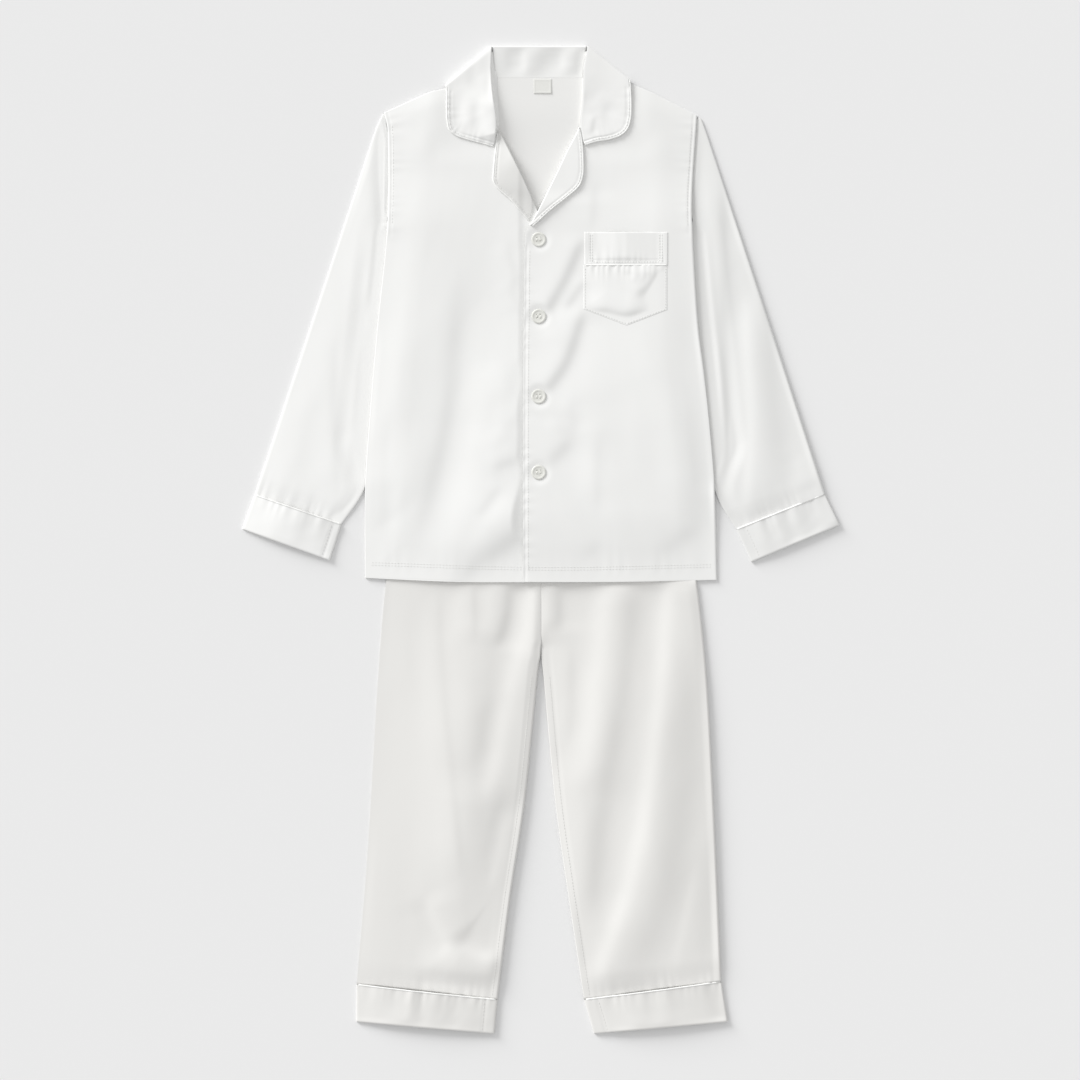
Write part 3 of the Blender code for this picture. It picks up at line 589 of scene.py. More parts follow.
def weave_group() -> bpy.types.NodeTree:
    """Node group for woven satin: long fine floats, a faint cross rib, and slow changes of shade.

    It has inputs for the cloth's own plane, the floats' scale and length and how far the shade wanders,
    and puts out the height of the weave and a shade that wanders round 1.

    Returns:
        The new group.
    """
    group = bpy.data.node_groups.new("satin_weave", "ShaderNodeTree")
    sockets = group.interface
    sockets.new_socket("Plane", in_out="INPUT", socket_type="NodeSocketVector")
    for name, start in (("Scale", 2600.0), ("Length", 14.0), ("Wander", 0.02)):
        socket = sockets.new_socket(name, in_out="INPUT", socket_type="NodeSocketFloat")
        socket.default_value = start
    for name in ("Height", "Shade"):
        sockets.new_socket(name, in_out="OUTPUT", socket_type="NodeSocketFloat")
    nodes = group.nodes
    given, put = nodes.new("NodeGroupInput"), nodes.new("NodeGroupOutput")
    apart, joined = nodes.new("ShaderNodeSeparateXYZ"), nodes.new("ShaderNodeCombineXYZ")
    floats = set_inputs(nodes.new("ShaderNodeTexNoise"), {"Detail": 2.0})
    slow = set_inputs(nodes.new("ShaderNodeTexNoise"), {"Scale": 9.0, "Detail": 3.0})
    shorter, about, shade = (nodes.new("ShaderNodeMath") for _ in range(3))
    shorter.operation, about.operation, shade.operation = "DIVIDE", "SUBTRACT", "MULTIPLY_ADD"
    set_inputs(about, {1: 0.5})
    set_inputs(shade, {2: 1.0})
    for output, entry in (
        (given.outputs["Plane"], apart.inputs[0]),
        (apart.outputs["Y"], shorter.inputs[0]),
        (given.outputs["Length"], shorter.inputs[1]),
        (apart.outputs["X"], joined.inputs["X"]),
        (shorter.outputs[0], joined.inputs["Y"]),
        (joined.outputs[0], floats.inputs["Vector"]),
        (given.outputs["Scale"], floats.inputs["Scale"]),
        (given.outputs["Plane"], slow.inputs["Vector"]),
        (slow.outputs["Fac"], about.inputs[0]),
        (about.outputs[0], shade.inputs[0]),
        (given.outputs["Wander"], shade.inputs[1]),
        (floats.outputs["Fac"], put.inputs["Height"]),
        (shade.outputs[0], put.inputs["Shade"]),
    ):
        group.links.new(output, entry)
    return group


@dataclass(frozen=True)
class Finish:
    """A finish, whose material is made on first use.

    Attributes:
        name: Name of the material.
    """

    name: str

    def material(self) -> bpy.types.Material:
        """The material, found by its name or else made."""
        return bpy.data.materials.get(self.name) or self.make()

    def make(self) -> bpy.types.Material:
        """The material; each kind of finish makes its own."""
        return self.blank()

    def blank(self) -> bpy.types.Material:
        """A new material with a plain shader.

        Returns:
            The material.
        """
        made = bpy.data.materials.new(self.name)
        made.use_nodes = True
        return made

    def clouded(
        self, noise: dict[str, float], colours: tuple[Colour, Colour], span: Place
    ) -> bpy.types.Material:
        """A new material that wanders between two colours by noise over the piece's own space.

        Args:
            noise: The noise's values.
            colours: The two colours.
            span: The noise's levels at which it reaches them.

        Returns:
            The material.
        """
        made = self.blank()
        nodes, link = made.node_tree.nodes, made.node_tree.links.new
        cloud = set_inputs(nodes.new("ShaderNodeTexNoise"), noise)
        link(nodes.new("ShaderNodeTexCoord").outputs["Object"], cloud.inputs["Vector"])
        ramp = nodes.new("ShaderNodeValToRGB")
        for stop, colour, level in zip(ramp.color_ramp.elements, colours, span):
            stop.color = (*colour, 1)
            stop.position = level
        link(cloud.outputs["Fac"], ramp.inputs["Fac"])
        link(ramp.outputs["Color"], nodes["Principled BSDF"].inputs["Base Color"])
        return made


@dataclass(frozen=True)
class Satin(Finish):
    """Woven satin.

    Attributes:
        colour: Colour of the yarn.
        roughness: Roughness of its gloss.
        sheen: Strength of the soft light along its edges.
        bump: Height of the weave, in metres.
        own_plane: Whether the weave follows the piece's own map, or else its place on the surface.
    """

    colour: Colour
    roughness: float = 0.36
    sheen: float = 0.08
    bump: float = 0.00003
    own_plane: bool = True

    def make(self) -> bpy.types.Material:
        """Satin whose colour and fine relief come from the weave group.

        Returns:
            The material.
        """
        made = self.blank()
        nodes, link = made.node_tree.nodes, made.node_tree.links.new
        gloss = {"Roughness": self.roughness, "Sheen Weight": self.sheen, "Sheen Roughness": 0.4}
        shader = set_inputs(nodes["Principled BSDF"], gloss)
        weave = nodes.new("ShaderNodeGroup")
        weave.node_tree = bpy.data.node_groups.get("satin_weave") or weave_group()
        if self.own_plane:
            plane = nodes.new("ShaderNodeUVMap")
            plane.uv_map = "cloth"
            link(plane.outputs["UV"], weave.inputs["Plane"])
        else:
            link(nodes.new("ShaderNodeTexCoord").outputs["Object"], weave.inputs["Plane"])
        tint = nodes.new("ShaderNodeMix")
        tint.data_type = "RGBA"
        tint.blend_type = "MULTIPLY"
        tint.inputs["Factor"].default_value = 1.0
        tint.inputs["A"].default_value = (*self.colour, 1)
        link(weave.outputs["Shade"], tint.inputs["B"])
        link(tint.outputs["Result"], shader.inputs["Base Color"])
        weave_bump = set_inputs(nodes.new("ShaderNodeBump"), {"Distance": self.bump, "Strength": 0.6})
        link(weave.outputs["Height"], weave_bump.inputs["Height"])
        link(weave_bump.outputs["Normal"], shader.inputs["Normal"])
        return made


@dataclass(frozen=True)
class Shell(Finish):
    """Polished button shell with faint cloudy layers.

    Attributes:
        pale: Colour of the pale layers.
        deep: Colour of the deeper layers.
    """

    pale: Colour = (0.76, 0.76, 0.72)
    deep: Colour = (0.67, 0.67, 0.63)

    def make(self) -> bpy.types.Material:
        """Glossy shell under a thin clear coat.

        Returns:
            The material.
        """
        layers = {"Scale": 240.0, "Detail": 4.0, "Distortion": 1.2}
        made = self.clouded(layers, (self.deep, self.pale), (0.32, 0.62))
        gloss = {"Roughness": 0.3, "Coat Weight": 0.2, "Coat Roughness": 0.08}
        set_inputs(made.node_tree.nodes["Principled BSDF"], gloss)
        return made


@dataclass(frozen=True)
class Matt(Finish):
    """A plain matt finish with a faint unevenness, for the label's tape, thread and the floor.

    Attributes:
        colour: Its colour.
        grain: Scale of the unevenness.
        depth: How much the colour changes.
        roughness: Roughness of its gloss.
    """

    colour: Colour
    grain: float
    depth: float
    roughness: float = 0.8

    def make(self) -> bpy.types.Material:
        """A dull material between its colour and a slightly darker one.

        Returns:
            The material.
        """
        darker = tuple(c * (1 - self.depth) for c in self.colour)
        made = self.clouded({"Scale": self.grain, "Detail": 4.0}, (darker, self.colour), (0.0, 1.0))
        gloss = {"Roughness": self.roughness, "Specular IOR Level": 0.25}
        set_inputs(made.node_tree.nodes["Principled BSDF"], gloss)
        return made


JACKET_SATIN = Satin("jacket_satin", (0.832, 0.832, 0.819))
# painted light: the jacket's satin, painted lighter for the sleeve towards the key light
PAINTED_LIGHT_SLEEVE_SATIN = Satin("sleeve_painted_light_satin", (0.862, 0.862, 0.849))
# painted shade: the jacket's satin, painted darker for the sleeve away from the key light
PAINTED_SHADE_SLEEVE_SATIN = Satin("sleeve_painted_shade_satin", (0.772, 0.772, 0.760))
# painted shade: the jacket's satin, painted darker and a little warmer for the dimmer light on the trousers
TROUSER_SHADED_SATIN = Satin("trouser_satin", (0.752, 0.744, 0.723))
# the back's inside face: duller satin of its own, painted darker and warmer for the shade and bounce light
# inside the neck
NECK_FACE_AND_SHADE_SATIN = Satin("inside_face_and_painted_shade_satin", (0.800, 0.797, 0.782), roughness=0.45)
# painted shade: a darker copy of the jacket's satin for the wearer's right lapel, in place of the shade on
# it
PAINTED_SHADE_LAPEL_SATIN = Satin("lapel_painted_shade_satin", (0.715, 0.712, 0.695), roughness=0.42)
PIPING_SATIN = Satin("piping_satin", (0.84, 0.84, 0.825), roughness=0.3, own_plane=False)
THREAD = Matt("sewing_thread", (0.80, 0.80, 0.78), 900.0, 0.06)
BUTTON_THREAD = Matt("button_thread", (0.86, 0.86, 0.82), 900.0, 0.08)
TAPE = Matt("label_weave", (0.77, 0.77, 0.74), 700.0, 0.08, 0.6)
FLOOR = Matt("floor_matt", (0.800, 0.800, 0.800), 3.0, 0.004, 0.9)
SHELL = Shell("button_shell_finish")


class Slot(Enum):
    """Material slots of the part's record."""

    SATIN = "white_satin"
    TRIM = "white_satin_trim"
    SHELL = "button_shell"
    TAPE = "label_tape"


def dress(piece: Piece, finish: Finish, nodes: Sequence[str] = ()) -> None:
    """Give a piece its finish, let it ride on the part, and hide the solids it stands for.

    Args:
        piece: The piece.
        finish: What it is made of.
        nodes: Solids that it replaces.
    """
    piece.data.materials.append(finish.material())
    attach(piece, "root")
    if nodes:
        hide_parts(*nodes)
    LOG.info("%s: %d points", piece.name, len(piece.data.vertices))


def cloth(
    name: str,
    grids: Sequence[Array],
    finish: Finish,
    node: str,
    flat: Place,
    on: Sequence[str] = ("floor",),
    wall: float = SHEET,
    fold: Fold = Fold.UP,
    wrap: bool = False,
    slot: Slot = Slot.SATIN,
) -> None:
    """Args:
        name: Name of the piece.
        grids: Rows of points, in millimetres.
        finish: What it is made of.
        node: The solid that it replaces, empty if there is none.
        flat: Its flat width and length, in millimetres; not used.
        on: What it rests on; not used.
        wall: Thickness of the wall.
        fold: How the outside is found.
        wrap: Whether each row closes on itself.
        slot: The slot it belongs to; not used.
    """
    piece = surface(name, grids, wall, fold, wrap)
    dress(piece, finish, [node] if node else [])


# Trousers ---------------------------------------------------------------------------------


@dataclass
class Leg:
    """One trouser leg with its turned cuff: back on the surface, front on the back.

    Attributes:
        side: The wearer's side.
        outer: Outseam from the waist down.
        inner: Centre seam from the waist to the crotch, then the inseam.
        seam: Cuff seam, from the outseam to the inseam.
        end: Lower edge of the cuff.
        creases: Creases of the front.
        strip: Distance of the cuff's own seam from its inner edge.
        seed: Seed of its unevenness.
        crotch: Y of the crotch.
        hem_line: Y of the jacket's hem, below which the leg shows.
        under_height: Height of its middle under the jacket.
        edge_height: Height near its seams where it shows.
        middle_rise: How much higher its middle stands there.
        rim: Height of its thin edges.
        least: Least height of the front.
        sewn_in: Distance of the sewing from the seams.
        cuff_drop: How much the cuff's seam draws it down.
        cuff_height: How thick the cuff lies.
        cuff_arch: How much the cuff's middle stands up.
        flat: Flat width and length of a panel.
    """

    side: Side
    outer: Line
    inner: Line
    seam: Line
    end: Line
    creases: tuple[Slant, ...]
    strip: float
    seed: int
    crotch: float = -108.0
    hem_line: float = -43.0
    under_height: float = 3.1
    edge_height: float = 4.9
    middle_rise: float = 4.0
    rim: float = 0.65
    least: float = 1.25
    sewn_in: float = 7.5
    cuff_drop: float = 1.35
    cuff_height: float = 3.5
    cuff_arch: float = 2.6
    flat: Place = (190, 545)

    def __post_init__(self) -> None:
        """Work out the smooth seams once."""
        sign = self.side.value
        self.outseam = smooth(self.outer)
        self.inner_line = smooth(self.inner)
        self.inner_line[:, 0] = sign * np.maximum(sign * self.inner_line[:, 0], 0.03)
        self.inseam = self.inner_line[self.inner_line[:, 1] <= self.crotch + 1]
        self.centre = self.inner_line[self.inner_line[:, 1] >= self.crotch - 2]
        inside = np.column_stack([np.full(len(self.inseam), sign * 400.0), self.inseam[:, 1]])
        self.strip_line = inset(self.inseam, inside, self.sewn_in)
        outside = np.column_stack([np.zeros(len(self.outseam)), self.outseam[:, 1]])
        self.outseam_line = inset(self.outseam, outside, self.sewn_in)

    def plan(self, across: Array, down: Array) -> Array:
        """Plan grid of the leg from waist to cuff seam.

        Args:
            across: Shares across, from the outseam.
            down: Shares down, from the waist.

        Returns:
            X and Y of the grid's points.
        """
        above = np.asarray(self.seam, float) + (0, 0.2)
        waist = (self.outseam[0], self.inner_line[0])
        return patch(waist, above, self.outseam, self.inner_line, across, down)

    def front_height(self, x: Array, y: Array) -> Array:
        """Height of the front's outer surface.

        A flat middle that is thicker below the jacket's hem, plus air, creases, gathers and
        unevenness there. The seam away from the light rolls down to the back by a quarter circle, the
        other climbs slowly, and both are drawn thin under the jacket. The centre seam and the lines
        beside the other seams are grooves.

        Args:
            x: X of points.
            y: Y of the same points.

        Returns:
            The height at each point.
        """
        out, inn = away_from(self.outseam, x, y), away_from(self.inseam, x, y)
        below = ease((self.hem_line + 8 - y) / 170)
        clear = ease((self.hem_line + 14 - y) / 16)
        lit, dark = (out, inn) if self.side is Side.RIGHT else (inn, out)
        held = ease(np.minimum(out, inn) / 9) * ease(np.abs(x) / 9 + 0.1)
        cuff = away_from(self.seam, x, y)
        gathers = Gather(self.seam, 10.0, 0.3, 11.0, self.seed)
        lift = self.middle_rise * ease(lit / 110) * ease(dark / 70) * ease(cuff / 150)
        folds = relief(self.creases, x, y) * held * ease(cuff / 12) + gathers.height(x, y) * held
        body = self.under_height + below * (self.edge_height - self.under_height + lift)
        body += ease((self.hem_line + 5 - y) / 14) * (folds + held * drift(x, y, self.seed, 0.12))
        body -= self.cuff_drop * (1 - ease(cuff / 26))
        near_cuff = ease((-300 - y) / 120)
        body += ditch(self.strip_line, x, y, 0.4, 0.8) * ease((self.crotch + 10 - y) / 30)
        body += ditch(self.outseam_line, x, y, 0.3, 0.8) * (0.2 + 0.8 * near_cuff) * clear
        outer, inner = bulge(out / 1.7), bulge(inn / 1.5)
        if self.side is Side.RIGHT:
            outer = 0.2 + 0.2 * quarter_sine(out / 40) + 0.6 * ease(out / 100)
        else:
            inner = lit_edge(inn, 0.55, 30)
        outer = outer * clear + ease(out / 30) * (1 - clear)
        inner = 1 - (1 - inner) * ease((self.crotch + 16 - y) / 16)
        roll = outer * inner
        centre = ditch(self.centre, x, y, 0.12, 0.9)
        return np.maximum(self.rim + (body - self.rim) * roll + centre, self.least)

    def build(self) -> None:
        """Make and dress the back, the front, the cuff, its piping and the sewing."""
        word = self.side.word
        width = abs(self.seam[0][0] - self.seam[1][0])
        tall = length_of(self.inner_line)
        back_plan = self.plan(shares(width, 8), np.linspace(0, 1, 50))
        back_points = stacked(back_plan, np.full(back_plan.shape[:2], SHEET))
        back = f"leg_back_{word}"
        # the trousers' satin is painted darker than the jacket's, as painted shade
        cloth(back, [back_points], TROUSER_SHADED_SATIN, f"trouser_back_{word}", self.flat)
        plan = self.plan(shares(width * 1.15), np.linspace(0, 1, round(tall / 2.3)))
        points = stacked(plan, self.front_height(plan[..., 0], plan[..., 1]))
        cloth(f"leg_front_{word}", [points], TROUSER_SHADED_SATIN, f"trouser_front_{word}", self.flat, [back])
        height, arch = self.cuff_height, self.cuff_arch
        cuff = TurnedCuff(self.seam, self.end, height, self.strip, self.seed + 40, arch)
        cuff.build(f"leg_cuff_{word}", TROUSER_SHADED_SATIN, f"trouser_cuff_{word}")
        cuff.piping(f"leg_cuff_cord_{word}", f"trouser_piping_{word}")
        line = along(self.strip_line, np.linspace(0.08, 0.99, 120))
        row = inset(line, np.column_stack([np.zeros(len(line)), line[:, 1]]), 1.6)
        inseam_row = stacked(row, self.front_height(row[:, 0], row[:, 1]) + SEWN)
        sewn = stitches(f"leg_stitches_{word}", [inseam_row, *cuff.stitch_lines()])
        dress(sewn, THREAD)


@dataclass
class TurnedCuff:
    """A turned cuff pressed flat, from its seam to its lower edge, with piping along the seam.

    Attributes:
        seam: The seam, from the outer to the inner edge.
        end: The lower edge.
        height: How thick the cuff lies.
        strip: Distance of its own seam from the inner edge.
        seed: Seed of its puckers.
        arch: How much higher its middle stands than its sides.
        depth: Flat depth of what shows of it.
        thin_fold: How far in its thin fold reaches, on the side of the light.
    """

    seam: Line
    end: Line
    height: float
    strip: float
    seed: int
    arch: float
    depth: float = 41
    thin_fold: float = 0.5

    def __post_init__(self) -> None:
        """Work out the start of the cuff, just below the piping's middle."""
        seam, end = np.asarray(self.seam, float), np.asarray(self.end, float)
        drop = (end - seam) / np.linalg.norm(end - seam, axis=1)[:, None]
        self.start = seam + drop * 0.4
        self.width = float(np.linalg.norm(seam[1] - seam[0]))
        run = (end[0] - end[1]) / np.linalg.norm(end[0] - end[1])
        self.strip_line = np.array([self.start[1] + run * self.strip, end[1] + run * self.strip])
        self.lit = int(seam[1, 0] < seam[0, 0])
        self.lit_fold = np.array([seam[self.lit], end[self.lit]])

    def top(self, x: Array, y: Array) -> Array:
        """Height of the top: level, with puckers at the seam, a groove at its own seam and a rolled end.

        The fold on the side of the light is thinner and climbs slowly.

        Args:
            x: X of points.
            y: Y of the same points.

        Returns:
            The height at each point.
        """
        from_end = away_from(self.end, x, y)
        from_seam = away_from(self.seam, x, y)
        across = away_from(self.lit_fold, x, y)
        puckers = np.zeros_like(x)
        sizes = ((9.0, 0.42, 10.0), (26.0, 0.8, 30.0), (42.0, 0.25 * self.arch, 60.0))
        for number, (pitch, depth, reach) in enumerate(sizes):
            puckers += Gather(self.seam, pitch, depth, reach, self.seed + number).height(x, y)
        puckers *= ease(from_seam / 2.5 + 0.4) * ease(from_end / 8)
        soft = drift(x, y, self.seed, 0.25, 1.0) * ease(from_end / 6)
        soft += self.arch * np.sin(np.clip(across / self.width, 0, 1) * math.pi)
        groove = ditch(self.strip_line, x, y, 0.5, 0.8)
        rolled = 0.72 + 0.28 * bulge(from_end / 1.6)
        climb = 0.66 + 0.34 * quarter_sine(across / 34)
        return (self.height + puckers + soft + groove) * rolled * climb

    def build(self, name: str, finish: Satin, node: str) -> None:
        """Make the flattened tube, each of its folds half an ellipse as tall as the cuff.

        Args:
            name: Name of the piece.
            finish: Its satin.
            node: The solid that it replaces.
        """
        fall = float(np.linalg.norm(np.subtract(self.end[0], self.seam[0])))
        down = shares(fall, 2.0)[:, None, None]
        thin, full = self.thin_fold, self.height / 2
        share, angle, mark = tube_shares(self.width, (full, thin) if self.lit else (thin, full))
        s = share[None, :, None]
        near = (1 - s) * self.start[0] + s * self.start[1]
        far = (1 - s) * np.asarray(self.end[0], float) + s * np.asarray(self.end[1], float)
        plan = (1 - down) * near + down * far
        points = stacked(plan, tube_height(self.top(plan[..., 0], plan[..., 1]), angle, mark))
        flat = (2 * self.width + 8, self.depth)
        cloth(name, [points], finish, node, flat, wall=TURNED, fold=Fold.ROUND, wrap=True)

    def piping(self, name: str, node: str) -> None:
        """Make the piping over the seam, from fold to fold, its ends dropping by a quarter circle.

        Args:
            name: Name of the piece.
            node: The solid that it replaces.
        """
        line = along(self.seam, np.linspace(0.012, 0.988, 60))
        level = self.top(line[:, 0], line[:, 1] - 1.0) - 0.42
        share = np.minimum(np.linspace(0, 1, 60), np.linspace(1, 0, 60))
        ends = bulge(share * self.width / 2.6 + 0.25)
        cord = cords(name, [stacked(line, 1.2 + (level - 1.2) * ends)], CORD_RADIUS)
        dress(cord, PIPING_SATIN, [node])

    def stitch_lines(self) -> list[Array]:
        """The line of sewing along the cuff's own seam.

        Returns:
            The rows of points.
        """
        beside = along(self.strip_line, np.linspace(0.08, 0.93, 20))
        beside = beside + (np.asarray(self.seam[0], float) - self.seam[1]) / self.width * 1.4
        return [stacked(beside, self.top(beside[:, 0], beside[:, 1]) + SEWN)]


def tube_shares(width: float, depths: tuple[float, float], step: float = STEP) -> tuple[Array, Array, Array]:
    """Shares across a flattened tube, for one trip round it.

    The bottom runs from the first edge to the second, half an ellipse turns up round the second edge,
    the top comes back, and half an ellipse turns down round the first.

    Args:
        width: Width of the tube.
        depths: How far in from each edge its fold reaches.
        step: Grid spacing across.

    Returns:
        The share across of each point; the angle of each fold's points, 0 elsewhere; and a mark that
        is 0 on the bottom, 1 on the top and 2 in the folds.
    """
    first, second = depths[0] / width, depths[1] / width
    count = max(4, round(width / step))
    flat = first + np.linspace(0, 1, count) * (1 - first - second)
    turn = np.linspace(0, math.pi, 9)[1:-1]
    second_fold, first_fold = 1 - second + second * np.sin(turn), first - first * np.sin(turn)
    share = np.concatenate([flat, second_fold, flat[::-1], first_fold])
    angle = np.concatenate([np.zeros(count), turn, np.zeros(count), math.pi - turn])
    mark = np.concatenate([np.zeros(count), np.full(7, 2), np.ones(count), np.full(7, 2)])
    return share, angle, mark


def tube_height(top: Array, angle: Array, mark: Array) -> Array:
    """Height round a flattened tube: 0 below, the top above, and half the top times 1 - cos in the folds."""
    return np.where(mark == 0, 0.0, np.where(mark == 1, top, top * (1 - np.cos(angle)) / 2))


@dataclass
class Trousers:
    """Both legs and the elastic waistband that lies under the jacket.

    Attributes:
        waist_half: Half the width of the waist.
        waist: Y of the legs' upper ends.
        band_top: Y of the waistband's upper edge.
        band_height: How thick the waistband lies.
        ruffle: Height of its ruffles.
        band_depth: Flat depth of the waistband.
        gathered: How much longer it is than twice the width that it goes round.
        right: The wearer's right leg.
        left: The wearer's left leg.
    """

    waist_half: float = 126.0
    waist: float = 77.0
    band_top: float = 107.0
    band_height: float = 3.6
    ruffle: float = 0.35
    band_depth: float = 31
    gathered: float = 30
    right: Leg = field(
        default_factory=lambda: Leg(
            side=Side.RIGHT,
            outer=((-126, 77), (-144, 20), (-155, -43), (-163, -140), (-173, -310), (-184, -445)),
            inner=((0, 77), (0, -20), (0, -108), (-3.3, -135), (-16, -260), (-31, -360), (-43.5, -460)),
            seam=((-184.4, -445), (-43.5, -460)),
            end=((-185, -482), (-46.7, -494)),
            creases=(
                Slant(((-147, -42), (-155, -110), (-163, -170)), 9, 0.35),
                Slant(((-132, -42), (-133, -160)), 5, -0.18),
                Slant(((-116, -42), (-116, -160), (-111, -260)), 9, 0.3),
                Slant(((-102, -40), (-100, -110), (-94, -180), (-86, -260), (-78, -345)), 4.5, -0.36, 0.12),
                Slant(((-84, -40), (-85, -110)), 8, 0.4),
                Slant(((-68, -30), (-65, -106)), 3.5, -0.32),
                Slant(((-52, -30), (-52, -92)), 5, 0.2),
                Slant(((-29, -20), (-34, -75), (-46, -112)), 6, -1.05, 0.2),
                Slant(
                    ((-6, -14), (-14, -85), (-27, -130), (-37, -175), (-46, -220), (-59, -270)),
                    11,
                    1.8,
                    0.12,
                ),
                Slant(((-50, -146), (-58, -185), (-66, -234)), 8, -0.38),
                Slant(((-34, -250), (-48, -280), (-57, -324)), 4.5, -0.17),
                Slant(((-32, -262), (-44, -320), (-54, -360)), 5, 0.34),
                Slant(((-34, -417), (-60, -415), (-80, -406), (-92, -396)), 7, 1.35, 0.25),
                Slant(((-118, -352), (-108, -378), (-97, -398), (-86, -414)), 6, 1.0, 0.3),
                Slant(((-30, -436), (-70, -437), (-130, -428)), 8, -1.0, 0.2),
                Slant(((-146, -230), (-150, -330), (-157, -480)), 22, -1.7, 0.45),
                Slant(((-104, -300), (-112, -360), (-118, -440)), 12, -0.6, 0.4),
            ),
            strip=11.5,
            seed=11,
        )
    )
    left: Leg = field(
        default_factory=lambda: Leg(
            side=Side.LEFT,
            outer=((126, 77), (145, 20), (156, -43), (166, -140), (173, -270), (180.4, -442)),
            inner=((0, 77), (0, -20), (0, -108), (3, -142), (14, -260), (28, -360), (43, -460)),
            seam=((180.4, -442), (43, -460)),
            end=((186.8, -482), (53, -494)),
            creases=(
                Slant(((18, -20), (17, -96)), 6, -0.95, 0.2),
                Slant(((65, -26), (59, -100), (51, -160), (46, -205), (34, -254)), 12, 1.4, 0.14),
                Slant(((30, -98), (30, -160), (27, -220)), 6, -0.5),
                Slant(
                    ((94, -26), (87, -110), (76, -180), (65, -240), (56, -310), (48, -390)),
                    12,
                    -1.6,
                    0.12,
                ),
                Slant(
                    (
                        (127, -26),
                        (121, -120),
                        (113, -200),
                        (105, -260),
                        (93, -322),
                        (79, -370),
                        (63, -415),
                        (51, -452),
                    ),
                    10,
                    1.6,
                    0.08,
                ),
                Slant(
                    ((152, -80), (148, -200), (140, -270), (126, -335), (108, -395), (86, -470)),
                    16,
                    -1.05,
                    0.2,
                ),
                Slant(((157, -310), (148, -360), (139, -400), (130, -442)), 5, 0.26),
                Slant(((172, -260), (162, -470)), 11, -0.9, 0.4),
            ),
            strip=12.5,
            seed=23,
        )
    )

    def waistband(self) -> None:
        """Make the waistband: a flattened tube with the even ruffles of its elastic."""
        share, angle, mark = tube_shares(2 * self.waist_half, (1.8, 1.8), 2.6)
        up = np.linspace(self.waist + 0.3, self.band_top, 16)
        across, y = np.meshgrid(share, up)
        x = self.waist_half * (1 - 2 * across)
        ruffle = self.ruffle * np.cos(x / 1.9 + 0.8 * np.sin(x / 13))
        ruffle = ruffle * ease((y - self.waist) / 5) * ease((self.band_top - y) / 4)
        top = self.band_height - self.ruffle + ruffle
        points = np.dstack([x, y, tube_height(top, angle, mark)])
        flat = (4 * self.waist_half + self.gathered, self.band_depth)
        tube = {"wall": TURNED, "fold": Fold.ROUND, "wrap": True}
        cloth("waistband_satin", [points], TROUSER_SHADED_SATIN, "waistband", flat, **tube)

    def build(self) -> None:
        """Make both legs and the waistband."""
        self.right.build()
        self.left.build()
        self.waistband()


# Jacket body ------------------------------------------------------------------------------


SIDE_RIGHT: Line = (
    (-176, -38), (-176, 50), (-170, 140), (-163, 220), (-154, 310), (-153, 400), (-157, 427.6)
)
SIDE_LEFT: Line = (
    (176, -40), (174, 45), (169, 110), (163, 168), (157, 218), (152, 300), (151, 345), (156, 425)
)
SHOULDER_RIGHT: Line = ((-157, 427.6), (-111, 448.4), (-97, 451.3), (-81, 457.5), (-51, 474))
SHOULDER_LEFT: Line = ((50, 475), (84, 459), (91, 456), (109, 448.4), (156, 425))
BACK_NECK: Line = ((-38, 463.9), (42, 463.9))
LAP_EDGE = 15.0  # X of the right front's edge, under the left one


def by_width(line: Line, fractions: Array) -> Array:
    """Points of an edge line at even shares of its width.

    Args:
        line: The line's points.
        fractions: Shares of its width.

    Returns:
        X and Y of the points.
    """
    points = np.asarray(line, float)
    x = points[0, 0] + (points[-1, 0] - points[0, 0]) * fractions
    order = np.argsort(points[:, 0])
    return np.column_stack([x, np.interp(x, points[order, 0], points[order, 1])])


